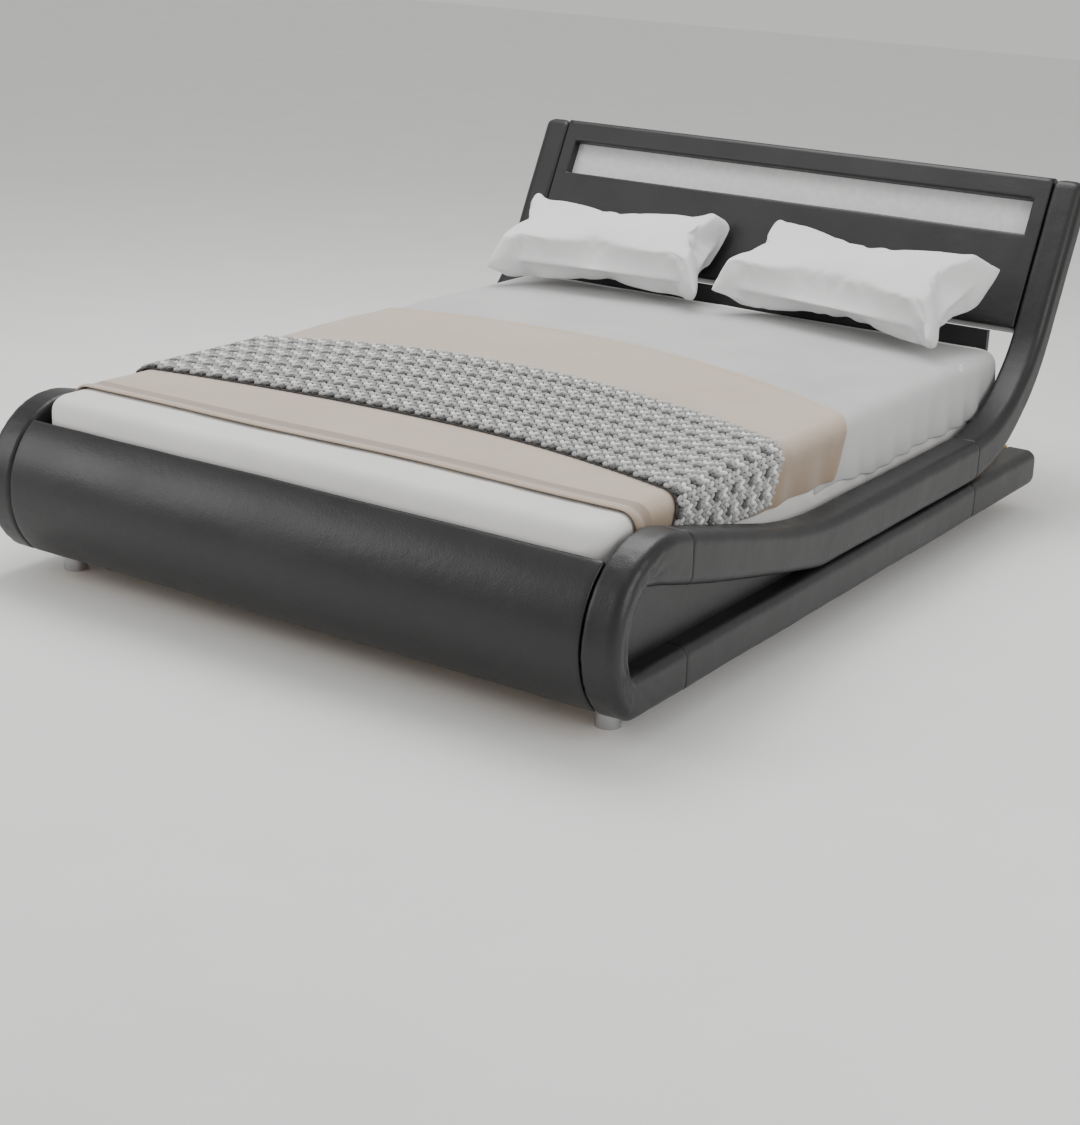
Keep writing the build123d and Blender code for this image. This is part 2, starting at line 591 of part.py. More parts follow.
def leg_and_leveller(u):
    """A tube leg under the centre beam and the screw foot in its end plug."""
    leg = upright(LEG_RADIUS, 0, u, (LEG_BOTTOM, BEAM_BOTTOM))
    leg -= upright(LEG_RADIUS - LEG_WALL, 0, u, (LEG_BOTTOM + LEG_PLUG, BEAM_BOTTOM - LEG_WALL))
    leg -= upright(LEVELLER_RADIUS + LEVELLER_CLEARANCE, 0, u, (LEG_BOTTOM, LEG_BOTTOM + LEG_PLUG))
    leveller = upright(LEVELLER_PAD_RADIUS, 0, u, (0, LEVELLER_PAD))
    leveller += upright(LEVELLER_RADIUS, 0, u, (LEVELLER_PAD, LEVELLER_PAD + LEVELLER_STEM))
    return leg.solid(), leveller.solid()


def rounded_slab(x_half, u_range, v_range, corner, edge, bottom_edge=0.0):
    """A mattress form: rounded upright corners, then a rounded rim at the top and the bottom."""
    slab = block((-x_half, x_half), u_range, v_range)
    slab = fillet(slab.edges().filter_by(Axis.Z), corner)
    slab = fillet(slab.faces().sort_by(Axis.Z)[-1].edges(), edge)
    if bottom_edge:
        slab = fillet(slab.faces().sort_by(Axis.Z)[0].edges(), bottom_edge)
    return slab.solid()


def draped(inner_half, inner_top, thickness, u_range, drop):
    """A cloth over the mattress: a flat top and two hanging sides, as one thin solid."""
    low = inner_top - drop
    outer = rectangle_across(inner_half + thickness, low, inner_top + thickness, MATTRESS_EDGE + thickness)
    inner = rectangle_across(inner_half, low, inner_top, MATTRESS_EDGE)
    cloth = extrude(outer - inner, u_range[1] - u_range[0], dir=(0, 1, 0))
    return (Pos(0, u_range[0] + FRONT, 0) * cloth).solid()


def rectangle_across(x_half, low, top, corner):
    """A section across the bed with its two upper corners rounded."""
    face = Plane.XZ * Pos(0, (low + top) / 2) * Rectangle(2 * x_half, top - low)
    return fillet(face.vertices().sort_by(Axis.Z)[-2:], corner)


def pillow(x_range, bottom):
    """A pillow lying against the leaning panel, wider at its foot than at its crest."""
    front, back = MATTRESS_END - PILLOW_DEPTH, lean_line_at(PANEL_BOTTOM) - PILLOW_BACK_GAP
    crest = bottom + PILLOW_HEIGHT
    shoulder = crest - PILLOW_CREST_ROUND
    points = [(front, bottom), (back, bottom), (back, bottom + PILLOW_HEIGHT * PILLOW_LOW_SHARE),
              (lean_line_at(shoulder) - PILLOW_BACK_GAP, shoulder),
              (lean_line_at(crest) - PILLOW_BACK_GAP - PILLOW_CREST_DEPTH, crest),
              (front, bottom + PILLOW_HEIGHT * PILLOW_FRONT_SHARE)]
    solid = on_side(make_face(Plane.YZ * Polyline(*points, close=True)), x_range).solid()
    width = x_range[1] - x_range[0]
    lengthwise = [edge for edge in solid.edges() if abs(edge.length - width) < 0.1]
    solid = fillet(lengthwise, PILLOW_ROUND / 2).solid()
    ends = face_edges(solid, x_range[0]) + face_edges(solid, x_range[1])
    return fillet(ends, PILLOW_ROUND / 3).solid()


def soft_pieces():
    """The mattress and its bedding, from the slats up."""
    half = MATTRESS_WIDTH / 2
    low = SLAT_TOP + SOFT_GAP
    top = low + MATTRESS_THICKNESS
    front, back = MATTRESS_FRONT, MATTRESS_END
    mattress = rounded_slab(half, (front + SOFT_GAP + FITTED_SHEET, back - SOFT_GAP - FITTED_SHEET),
                            (low, top), MATTRESS_CORNER, MATTRESS_EDGE, MATTRESS_EDGE)
    sheet_half = half + SOFT_GAP + FITTED_SHEET
    outer = rounded_slab(sheet_half, (front, back), (low + MATTRESS_EDGE, top + SOFT_GAP + FITTED_SHEET),
                         MATTRESS_CORNER + SOFT_GAP + FITTED_SHEET, MATTRESS_EDGE + SOFT_GAP + FITTED_SHEET)
    inner = rounded_slab(half + SOFT_GAP, (front + FITTED_SHEET, back - FITTED_SHEET),
                         (low, top + SOFT_GAP), MATTRESS_CORNER + SOFT_GAP, MATTRESS_EDGE + SOFT_GAP)
    fitted_sheet = (outer - inner).solid()
    sheet_top = top + SOFT_GAP + FITTED_SHEET
    top_half, top_inner = sheet_half + SOFT_GAP, sheet_top + SOFT_GAP
    top_sheet = draped(top_half, top_inner, TOP_SHEET, (TOP_SHEET_FRONT, back - TOP_SHEET_SETBACK),
                       TOP_SHEET_DROP)
    throw_half, throw_inner = top_half + TOP_SHEET + SOFT_GAP, top_inner + TOP_SHEET + SOFT_GAP
    throw = draped(throw_half, throw_inner, THROW, (THROW_FRONT, THROW_BACK), THROW_DROP)
    knit_half, knit_inner = throw_half + THROW + SOFT_GAP, throw_inner + THROW + SOFT_GAP
    knit = draped(knit_half, knit_inner, THROW, (KNIT_FRONT, KNIT_BACK), KNIT_DROP)
    pillow_low = top_inner + TOP_SHEET + SOFT_GAP
    near, far = PILLOW_MIDDLE_GAP / 2, INNER_FACE - PILLOW_SIDE_GAP
    return {"mattress": mattress, "fitted_sheet": fitted_sheet, "top_sheet": top_sheet,
            "throw_blanket": throw, "knit_throw": knit,
            "left_pillow": pillow((-far, -near), pillow_low), "right_pillow": pillow((near, far), pillow_low)}


def main():
    os.makedirs("parts", exist_ok=True)
    print(f"bed {BED_WIDTH:.0f} wide, {BED_LENGTH:.0f} long and {BED_HEIGHT:.0f} high")
    right = side_pieces()
    for name in ("curl_cover", "curl_core", "rail_cover", "rail_core", "tail_cover", "headboard_side_frame"):
        right[name] = drilled(right[name])
    for name, piece in right.items():
        save(f"right_{name}", piece)
        save(f"left_{name}", mirrored(piece))

    groups = (footboard_pieces(), headboard_pieces(), base_pieces(), soft_pieces())
    for group in groups:
        for name, piece in group.items():
            save(name, piece)
    save("joint_plates", joint_plates())
    save("joint_bolts", joint_bolts())

    for side, sign in SIDES.items():
        save(f"front_{side}_foot", foot(sign * FRONT_FOOT[0], FRONT_FOOT[1]))
        save(f"rear_{side}_foot", foot(sign * REAR_FOOT[0], REAR_FOOT[1]))
    for i in range(LEG_COUNT):
        leg, leveller = leg_and_leveller(FOOTBOARD_DEPTH + MATTRESS_LENGTH * (i + 1) / (LEG_COUNT + 1))
        save(f"centre_leg_{i + 1}", leg)
        save(f"levelling_foot_{i + 1}", leveller)


main()
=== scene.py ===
# %% [markdown]
# # An upholstered sleigh bed, made up with sheets, throws and pillows
# The bed's two sides are long padded ribbons: each curls up at the foot, falls as an armrest, and
# sweeps up again as the wing of a leaning headboard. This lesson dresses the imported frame. Hard parts
# keep their own shapes and get a finish; leather, foam and cloth are modelled again as soft things.
# Everything is in metres. X runs across the bed, Y from foot to head, Z up from the floor.

import math

import bmesh
import bpy
import numpy as np
from mathutils import Matrix, Vector


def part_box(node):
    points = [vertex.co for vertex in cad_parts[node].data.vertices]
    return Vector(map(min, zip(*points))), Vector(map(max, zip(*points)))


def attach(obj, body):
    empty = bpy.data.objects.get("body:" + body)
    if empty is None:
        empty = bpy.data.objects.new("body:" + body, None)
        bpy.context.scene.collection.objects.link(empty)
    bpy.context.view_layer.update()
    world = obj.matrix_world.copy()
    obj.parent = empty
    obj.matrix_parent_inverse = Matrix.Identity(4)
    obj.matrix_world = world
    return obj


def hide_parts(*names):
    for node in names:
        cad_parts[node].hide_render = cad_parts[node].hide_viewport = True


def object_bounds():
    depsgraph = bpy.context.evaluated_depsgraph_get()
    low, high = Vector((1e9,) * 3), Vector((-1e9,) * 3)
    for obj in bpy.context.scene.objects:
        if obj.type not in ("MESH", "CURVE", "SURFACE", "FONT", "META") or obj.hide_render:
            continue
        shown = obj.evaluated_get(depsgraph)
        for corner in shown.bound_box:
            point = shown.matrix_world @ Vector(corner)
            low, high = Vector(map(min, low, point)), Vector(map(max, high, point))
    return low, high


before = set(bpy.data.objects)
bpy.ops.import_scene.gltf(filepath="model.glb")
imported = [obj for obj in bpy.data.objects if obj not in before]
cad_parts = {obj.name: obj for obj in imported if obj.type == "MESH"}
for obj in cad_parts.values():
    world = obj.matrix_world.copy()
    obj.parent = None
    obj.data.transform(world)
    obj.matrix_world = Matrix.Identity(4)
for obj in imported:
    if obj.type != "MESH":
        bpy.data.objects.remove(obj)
cad_low, cad_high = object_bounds()
FRONT_Y = cad_low.y
MM = 0.001
print("frame", [round(v, 3) for v in cad_low], [round(v, 3) for v in cad_high])

# %% [markdown]
# ## Small helpers
# A colour is easiest to pick as six hex digits, the way a screen shows it, but the renderer counts
# light, so one function turns it to linear values. Another adds a shader or geometry node together
# with its settings and wires, which keeps each material short enough to read in one look.

# %% Helpers for colours, nodes and meshes
def linear(digits):
    """Six hex digits of screen colour as linear light."""
    screen = [int(digits[i:i + 2], 16) / 255 for i in (0, 2, 4)]
    return [v / 12.92 if v <= 0.04045 else ((v + 0.055) / 1.055) ** 2.4 for v in screen] + [1.0]


def add(tree, kind, settings=None, values=None, links=None):
    """Add one node; links maps each of its sockets to another node's output."""
    made = tree.nodes.new(kind)
    for name, value in (settings or {}).items():
        setattr(made, name, value)
    for name, value in (values or {}).items():
        made.inputs[name].default_value = value
    for name, (source, output) in (links or {}).items():
        tree.links.new(source.outputs[output], made.inputs[name])
    return made


def new_mesh(name, points, faces, uvs=None):
    """A smooth-shaded mesh object from points and faces, with a UV for each point if given."""
    mesh = bpy.data.meshes.new(name)
    mesh.from_pydata(np.asarray(points, float).reshape(-1, 3).tolist(), [], [tuple(f) for f in faces])
    mesh.polygons.foreach_set("use_smooth", [True] * len(mesh.polygons))
    if uvs is not None:
        layer = mesh.uv_layers.new(name="cloth")
        loops = np.zeros(len(mesh.loops), np.int32)
        mesh.loops.foreach_get("vertex_index", loops)
        layer.data.foreach_set("uv", np.asarray(uvs, np.float32)[loops].ravel())
    mesh.update()
    piece = bpy.data.objects.new(name, mesh)
    bpy.context.scene.collection.objects.link(piece)
    return piece


def grid_faces(rows, columns, wrap=False):
    """Quads between the rows of a grid of points; wrap joins the last column to the first."""
    across = columns if wrap else columns - 1
    faces = []
    for i in range(rows - 1):
        for j in range(across):
            k = (j + 1) % columns
            faces.append((i * columns + j, i * columns + k, (i + 1) * columns + k, (i + 1) * columns + j))
    return faces


def point_outward(piece):
    """Turn all the faces of a closed piece outwards."""
    shape = bmesh.new()
    shape.from_mesh(piece.data)
    bmesh.ops.recalc_face_normals(shape, faces=shape.faces)
    shape.to_mesh(piece.data)
    shape.free()


def points_and_normals(mesh):
    """The points of a mesh and its normals there, as arrays."""
    points, normals = np.zeros(len(mesh.vertices) * 3), np.zeros(len(mesh.vertices) * 3)
    mesh.vertices.foreach_get("co", points)
    mesh.vertices.foreach_get("normal", normals)
    return points.reshape(-1, 3), normals.reshape(-1, 3)


def push(piece, amount):
    """Move each point of a piece along its normal; amount gets all the points and returns metres."""
    points, normals = points_and_normals(piece.data)
    points += normals * amount(points)[:, None]
    piece.data.vertices.foreach_set("co", points.ravel())
    piece.data.update()


def waves(points, size, seed):
    """Smooth noise from about -1 to 1 at each point, with bumps of about that size."""
    place = np.asarray(points, float) / size + np.array([7.3, 3.1, 5.7]) * seed
    cell = np.floor(place).astype(np.int64)
    inside = place - cell
    fade = inside**3 * (inside * (inside * 6 - 15) + 10)
    total = np.zeros(len(place))
    for corner in np.ndindex(2, 2, 2):
        lattice = cell + corner
        mixed = lattice[:, 0] * 73856093 ^ lattice[:, 1] * 19349663 ^ lattice[:, 2] * 83492791
        mixed = (mixed ^ mixed >> 13) * 1274126177 & 0x7FFFFFFF
        slopes = np.stack([mixed >> shift & 255 for shift in (3, 11, 19)], axis=1) / 127.5 - 1
        share = np.where(corner, fade, 1 - fade).prod(axis=1)
        total += share * ((inside - corner) * slopes).sum(axis=1)
    return np.clip(total * 1.5, -1, 1)


def ease(values, low, high):
    """0 below low, 1 above high, and smooth between."""
    t = np.clip((np.asarray(values, float) - low) / (high - low), 0, 1)
    return t * t * (3 - 2 * t)


def dress(piece, body, slot, material, *replaced):
    """Give a finished piece its material, its body and the CAD nodes it stands for; the slot argument is not
    used.
    """
    if material:
        piece.data.materials.clear()
        piece.data.materials.append(material)
    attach(piece, body)
    if replaced:
        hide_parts(*replaced)
    print(f"{piece.name}: {len(piece.data.polygons)} faces on {body}")
    return piece


# %% [markdown]
# ## Camera, floor and light
# The view is from the foot end on the right, at standing height. A floor of plain pale grey takes the
# shadows, one large soft lamp overhead rolls a gentle band of light along each rounded edge, and a
# weaker one from the front left opens up the black leather.

# %% Camera, floor and lights
CAMERA_PLACE = Vector((2.722, -4.315, 1.667))
CAMERA_AIM = (33.07, 19.02, 2.231)      # degrees round, above the horizon, and rolled
CAMERA_LENS = 67.27


def camera_turn(azimuth, elevation, roll):
    """The camera's rotation, from the direction back towards it and its roll."""
    a, e, r = (math.radians(v) for v in (azimuth, elevation, roll))
    back = Vector((math.sin(a) * math.cos(e), -math.cos(a) * math.cos(e), math.sin(e)))
    right = Vector((0, 0, 1)).cross(back).normalized()
    up = back.cross(right)
    across = right * math.cos(r) + up * math.sin(r)
    return Matrix((across, back.cross(across), back)).transposed().to_quaternion()


lens = bpy.data.cameras.new("camera")
lens.lens = CAMERA_LENS
camera = bpy.data.objects.new("camera", lens)
camera.location = CAMERA_PLACE
camera.rotation_mode = "QUATERNION"
camera.rotation_quaternion = camera_turn(*CAMERA_AIM)
bpy.context.scene.collection.objects.link(camera)
bpy.context.scene.camera = camera


def softbox(name, place, aim, size, watts):
    """A square area lamp that points at a place."""
    lamp = bpy.data.lights.new(name, "AREA")
    lamp.size, lamp.energy = size, watts
    holder = bpy.data.objects.new(name, lamp)
    holder.location = place
    holder.rotation_euler = (Vector(aim) - Vector(place)).to_track_quat("-Z", "Y").to_euler()
    bpy.context.scene.collection.objects.link(holder)


softbox("overhead_softbox", (-0.6, 0.6, 3.6), (0, 0, 0.3), 2.6, 120)
softbox("front_left_fill", (-3.4, -3.6, 2.4), (0, -0.4, 0.3), 2.4, 70)
softbox("right_fill", (4.2, -1.2, 2.0), (0.5, 0, 0.3), 2.0, 55)
world = bpy.data.worlds.new("studio")
world.use_nodes = True
world.node_tree.nodes["Background"].inputs["Color"].default_value = linear("f2f2f0")
world.node_tree.nodes["Background"].inputs["Strength"].default_value = 0.75
bpy.context.scene.world = world

FLOOR_HALF = 14.0
floor = new_mesh("studio_floor", [(-FLOOR_HALF, -FLOOR_HALF, 0), (FLOOR_HALF, -FLOOR_HALF, 0),
                                  (FLOOR_HALF, FLOOR_HALF, 0), (-FLOOR_HALF, FLOOR_HALF, 0)], [(0, 1, 2, 3)])
print("camera, floor and three lamps")

# %% [markdown]
# ## Black faux leather
# The covers are polyurethane leather: a satin black skin with a fine pebble grain pressed into it.
# The grain tells the eye that it is leather and not paint, and a slow change of gloss tells it that the
# skin is stretched over foam. Real pebbles are about 1.5 mm wide, too fine to show from across a room,
# so they are drawn 4 mm wide.

# %% Leather
PEBBLE = 4 * MM
HANDLED = 180 * MM          # how far apart the more and less polished areas are


def start_material(name, colour, roughness, **sockets):
    """A new material with its shader's own sockets set; returns it, its tree and the shader."""
    made = bpy.data.materials.new(name)
    made.use_nodes = True
    shader = made.node_tree.nodes["Principled BSDF"]
    shader.inputs["Base Color"].default_value = linear(colour)
    shader.inputs["Roughness"].default_value = roughness
    for socket, value in sockets.items():
        shader.inputs[socket.replace("_", " ")].default_value = value
    return made, made.node_tree, shader


def wire(tree, source, output, target, socket):
    """Join one node's output to another's socket."""
    tree.links.new(source.outputs[output], target.inputs[socket])


def mottle(tree, place, size, first, second, shader):
    """Blend two colours over the surface in soft patches of about one size."""
    patches = add(tree, "ShaderNodeTexNoise", {}, {"Scale": 1 / size, "Detail": 2.0}, {"Vector": place})
    blend = add(tree, "ShaderNodeValToRGB", links={"Fac": (patches, "Fac")})
    blend.color_ramp.elements[0].position, blend.color_ramp.elements[1].position = 0.3, 0.7
    blend.color_ramp.elements[0].color, blend.color_ramp.elements[1].color = linear(first), linear(second)
    wire(tree, blend, "Color", shader, "Base Color")
    return blend


def relief(tree, height, shader, depth, strength=1.0, under=None):
    """Bump from a height pattern, in metres of depth, on top of another bump if given."""
    bump = add(tree, "ShaderNodeBump", values={"Distance": depth, "Strength": strength},
               links={"Height": height})
    if under:
        wire(tree, under, "Normal", bump, "Normal")
    wire(tree, bump, "Normal", shader, "Normal")
    return bump


def leather():
    made, tree, shader = start_material("black_faux_leather", "161617", 0.42, Specular_IOR_Level=0.5)
    place = (add(tree, "ShaderNodeTexCoord"), "Object")
    mottle(tree, place, HANDLED, "121213", "1c1c1d", shader)
    cells = add(tree, "ShaderNodeTexVoronoi", {"feature": "SMOOTH_F1"},
                {"Scale": 1 / PEBBLE, "Smoothness": 0.6}, {"Vector": place})
    creases = add(tree, "ShaderNodeTexNoise", values={"Scale": 1 / (24 * MM), "Detail": 5.0},
                  links={"Vector": place})
    soft = relief(tree, (creases, "Fac"), shader, 1.2 * MM, 0.5)
    relief(tree, (cells, "Distance"), shader, 0.35 * MM, 0.5, soft)
    polish = add(tree, "ShaderNodeTexNoise", values={"Scale": 1 / HANDLED}, links={"Vector": place})
    gloss = add(tree, "ShaderNodeMapRange", {}, {"To Min": 0.34, "To Max": 0.5}, {"Value": (polish, "Fac")})
    wire(tree, gloss, "Result", shader, "Roughness")
    return made


LEATHER = leather()
print(LEATHER.name)

# %% [markdown]
# ## The padded ribbons of the sides
# Each stretch of a side is leather and foam over a wooden core. A block with bevelled edges would look
# cast, so each stretch is lofted: pairs of points on its two long edges give its length and depth, and
# a rounded rectangle joins each pair, with a fuller edge outside the bed than inside. Where a stretch
# meets the next, the last few millimetres roll in, which makes the sewn seam's groove.

# %% Loft a padded ribbon between two edges
SEAM_ROLL = 5 * MM
STEP = 9 * MM


def arc(centre, radius, first, last, count=60):
    """Points round a circle from one angle to another, in degrees up from +Y."""
    turn = np.radians(np.linspace(first, last, count))
    return np.column_stack([centre[0] + radius * np.cos(turn), centre[1] + radius * np.sin(turn)])


def travelled(path):
    """How far along a path each of its points is."""
    return np.concatenate([[0], np.cumsum(np.linalg.norm(np.diff(path, axis=0), axis=1))])


def respaced(path, count):
    """The same path with evenly spaced points."""
    along = travelled(path)
    at = np.linspace(0, along[-1], count)
    return np.column_stack([np.interp(at, along, path[:, k]) for k in range(path.shape[1])])


def softened(path, window):
    """Round a path's corners by averaging over a window of points; its ends stay."""
    before, after = 2 * path[0] - path[window:0:-1], 2 * path[-1] - path[-2:-window - 2:-1]
    longer = np.vstack([before, path, after])
    kernel = np.ones(2 * window + 1) / (2 * window + 1)
    return np.column_stack([np.convolve(longer[:, k], kernel, "valid") for k in range(path.shape[1])])


def matched(outer, inner, window=8):
    """Two long edges made of matching stretches, with as many points on one as on the other."""
    first, second = [], []
    for a, b in zip(outer, inner):
        count = max(3, int(travelled(np.asarray(a, float))[-1] / (2 * MM)))
        first.append(respaced(np.asarray(a, float), count)[:-1])
        second.append(respaced(np.asarray(b, float), count)[:-1])
    first.append(np.asarray(outer[-1][-1:], float))
    second.append(np.asarray(inner[-1][-1:], float))
    return softened(np.vstack(first), window), softened(np.vstack(second), window)


def rolled_in(distance, radius):
    """How far a rounded end of that radius is drawn in at a distance from it."""
    if radius <= 0:
        return np.zeros_like(distance)
    short = np.clip(radius - distance, 0, radius)
    return radius - np.sqrt(np.maximum(radius**2 - short**2, 0))


def stops(total, first_round, last_round, step=STEP):
    """Distances along a ribbon, closer together where an end is rounded."""
    ramp = 1 - np.cos(np.linspace(0, math.pi / 2, 7))
    count = max(3, int((total - first_round - last_round) / step))
    middle = np.linspace(first_round, total - last_round, count)
    return np.unique(np.concatenate([first_round * ramp, middle, total - last_round * ramp]).round(6))


def rounded_ring(depth, width, inside, outside, along_depth, along_width, corner=6):
    """A rounded rectangle's points for each station: how deep from the first edge, and how far out."""
    inside = np.minimum(inside, 0.48 * np.minimum(depth, width))
    outside = np.minimum(outside, 0.48 * np.minimum(depth, width))
    flat_width, ring = width - inside - outside, []
    for t in np.arange(along_width) / along_width:
        ring.append((0 * depth, inside + flat_width * t))
    for a in np.arange(corner) / corner * math.pi / 2:
        ring.append((outside * (1 - math.cos(a)), width - outside * (1 - math.sin(a))))
    for t in np.arange(along_depth) / along_depth:
        ring.append((outside + (depth - 2 * outside) * t, width))
    for a in np.arange(corner) / corner * math.pi / 2:
        ring.append((depth - outside * (1 - math.sin(a)), width - outside * (1 - math.cos(a))))
    for t in np.arange(along_width) / along_width:
        ring.append((depth, width - outside - flat_width * t))
    for a in np.arange(corner) / corner * math.pi / 2:
        ring.append((depth - inside * (1 - math.cos(a)), inside * (1 - math.sin(a))))
    for t in np.arange(along_depth) / along_depth:
        ring.append((depth - inside - (depth - 2 * inside) * t, 0 * depth))
    for a in np.arange(corner) / corner * math.pi / 2:
        ring.append((inside * (1 - math.sin(a)), inside * (1 - math.cos(a))))
    return np.array([r[0] for r in ring]).T, np.array([r[1] for r in ring]).T


def ribbon(name, edges, node, edge_round, first_end, last_end, rows=(10, 9)):
    """Loft a padded ribbon of one side; ends give the roll of its outer edge, inner edge and faces."""
    low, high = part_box(node)
    outer, inner = edges
    middle_line = travelled((outer + inner) / 2)
    total = middle_line[-1]
    at = stops(total, max(first_end), max(last_end))
    outer, inner = (np.column_stack([np.interp(at, middle_line, path[:, k]) for k in (0, 1)])
                    for path in (outer, inner))
    rolls = [rolled_in(at, a) + rolled_in(total - at, b) for a, b in zip(first_end, last_end)]
    across = inner - outer
    depth = np.linalg.norm(across, axis=1)
    across /= depth[:, None]
    width = np.full_like(depth, high.x - low.x) - 2 * rolls[2]
    inside, outside = (np.full_like(depth, r) for r in edge_round)
    deep, out = rounded_ring(depth - rolls[0] - rolls[1], width, inside, outside, *rows)
    deep += rolls[0][:, None]
    right = low.x > 0
    x = low.x + rolls[2][:, None] + out if right else high.x - rolls[2][:, None] - out
    y = outer[:, :1] + across[:, :1] * deep + FRONT_Y
    z = outer[:, 1:] + across[:, 1:] * deep
    points = np.stack([x, y, z], axis=2)
    count, columns = x.shape
    faces = grid_faces(count, columns, wrap=True)
    faces += [tuple(range(columns)), tuple(range((count - 1) * columns, count * columns))]
    piece = new_mesh(name, points, faces)
    point_outward(piece)
    return piece


print("ribbon ready")

# %% [markdown]
# ### Where the edges run
# The curl is a circle; behind its crest the armrest falls along a straight line, levels out in a wide
# arc, and sweeps up into the leaning wing. The lower edge of the armrest follows with its own arcs.
# A handful of radii and heights says all of it, and the frame gives the places.

# %% The side's edges, as distances from the front and heights
CURL_RADIUS, CURL_WALL = 196 * MM, 60 * MM
ARM_SLOPE, ARM_SWEEP = 13.5, 1436 * MM
NICHE_START, NICHE_LENGTH, NICHE_SAG = 126.0, 684 * MM, 8 * MM
LEAN, WING_THICKNESS = 26.0, 78 * MM
FRONT_SWEEP, BACK_SWEEP = 430 * MM, 520 * MM
OUTSIDE_ROUND, INSIDE_ROUND = 24 * MM, 12 * MM

rail_low, rail_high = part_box("right_rail_cover")
arm_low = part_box("right_arm_cover")[0]
tail_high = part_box("right_tail_cover")[1]
curl_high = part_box("right_curl_cover")[1]
wing_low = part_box("right_wing_cover")[0]
panel_low, panel_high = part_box("headboard_cover")
RAIL_BOTTOM, RAIL_TOP, ARM_BOTTOM = rail_low.z, rail_high.z, arm_low.z
CURL_JOINT, HEAD_JOINT = rail_low.y - FRONT_Y, rail_high.y - FRONT_Y
TAIL_END = tail_high.y - FRONT_Y
CURL_CENTRE = (CURL_RADIUS, curl_high.z - CURL_RADIUS)
ARM_TOP = 268 * MM
lean_run, lean_rise = math.sin(math.radians(LEAN)), math.cos(math.radians(LEAN))
corner_loss = lean_rise + lean_run - 1
TOP_EDGE = panel_high.z + 14 * MM * corner_loss
TOP_FRONT = cad_high.y - FRONT_Y + 40 * MM * corner_loss - WING_THICKNESS * lean_rise


def lean_line(height, setback=0.0):
    """Distance of the leaning face from the front at a height, or of a face set back behind it."""
    return TOP_FRONT + setback * lean_rise - (TOP_EDGE - setback * lean_run - height) * lean_run / lean_rise


slope = math.radians(ARM_SLOPE)
crest = (CURL_RADIUS * (1 + math.sin(slope)), CURL_CENTRE[1] + CURL_RADIUS * math.cos(slope))
level_at = crest[0] + (crest[1] - ARM_TOP) / math.tan(slope) + ARM_SWEEP * math.tan(slope / 2)
turn = math.radians(90 - LEAN)
front_sweep_at = lean_line(ARM_TOP) - FRONT_SWEEP * math.tan(turn / 2)
back_sweep_at = lean_line(ARM_BOTTOM, WING_THICKNESS) - BACK_SWEEP * math.tan(turn / 2)
niche_radius = CURL_RADIUS - CURL_WALL
curl_end = 180 + math.degrees(math.asin((CURL_CENTRE[1] - RAIL_BOTTOM) / CURL_RADIUS))
niche_end = 180 + math.degrees(math.asin((CURL_CENTRE[1] - RAIL_TOP) / niche_radius))
niche_corner = arc(CURL_CENTRE, niche_radius, NICHE_START, NICHE_START, 1)[0]
NICHE_END = CURL_RADIUS + NICHE_LENGTH


def arm_top(along):
    """Height of the armrest's upper edge."""
    fall = crest[1] - (along - crest[0]) * math.tan(slope)
    sweep_start = level_at - ARM_SWEEP * math.sin(slope)
    sweep = ARM_TOP + ARM_SWEEP - np.sqrt(np.maximum(ARM_SWEEP**2 - np.minimum(along - level_at, 0)**2, 0))
    rise = FRONT_SWEEP - np.sqrt(np.maximum(FRONT_SWEEP**2 - np.maximum(along - front_sweep_at, 0)**2, 0))
    return np.where(along < sweep_start, fall, sweep) + rise


def arm_bottom(along):
    """Height of the armrest's lower edge, which is also the niche's upper edge."""
    share = np.clip((along - niche_corner[0]) / (NICHE_END - niche_corner[0]), 0, 1)
    fall = niche_corner[1] + (ARM_BOTTOM - niche_corner[1]) * share - NICHE_SAG * 4 * share * (1 - share)
    rise = BACK_SWEEP - np.sqrt(np.maximum(BACK_SWEEP**2 - np.maximum(along - back_sweep_at, 0)**2, 0))
    return np.where(along < NICHE_END, fall, ARM_BOTTOM) + rise


def between(height, first, last, count=80):
    """Points of an edge whose height is given for each distance."""
    along = np.linspace(first, last, count)
    return np.column_stack([along, height(along) if callable(height) else np.full(count, height)])


curl_edges = matched(
    [[(CURL_JOINT, RAIL_BOTTOM), tuple(arc(CURL_CENTRE, CURL_RADIUS, curl_end, curl_end, 1)[0])],
     arc(CURL_CENTRE, CURL_RADIUS, curl_end, NICHE_START),
     np.vstack([arc(CURL_CENTRE, CURL_RADIUS, NICHE_START, 90 - ARM_SLOPE),
                between(arm_top, crest[0], CURL_JOINT)])],
    [[(CURL_JOINT, RAIL_TOP), tuple(arc(CURL_CENTRE, niche_radius, niche_end, niche_end, 1)[0])],
     arc(CURL_CENTRE, niche_radius, niche_end, NICHE_START),
     between(arm_bottom, niche_corner[0], CURL_JOINT)])
arm_edges = matched([between(arm_top, CURL_JOINT, HEAD_JOINT)], [between(arm_bottom, CURL_JOINT, HEAD_JOINT)])
rail_edges = matched([between(RAIL_TOP, CURL_JOINT, HEAD_JOINT)],
                     [between(RAIL_BOTTOM, CURL_JOINT, HEAD_JOINT)])
tail_edges = matched([between(RAIL_TOP, HEAD_JOINT, TAIL_END)], [between(RAIL_BOTTOM, HEAD_JOINT, TAIL_END)])
sweep_end = 270 + 90 - LEAN
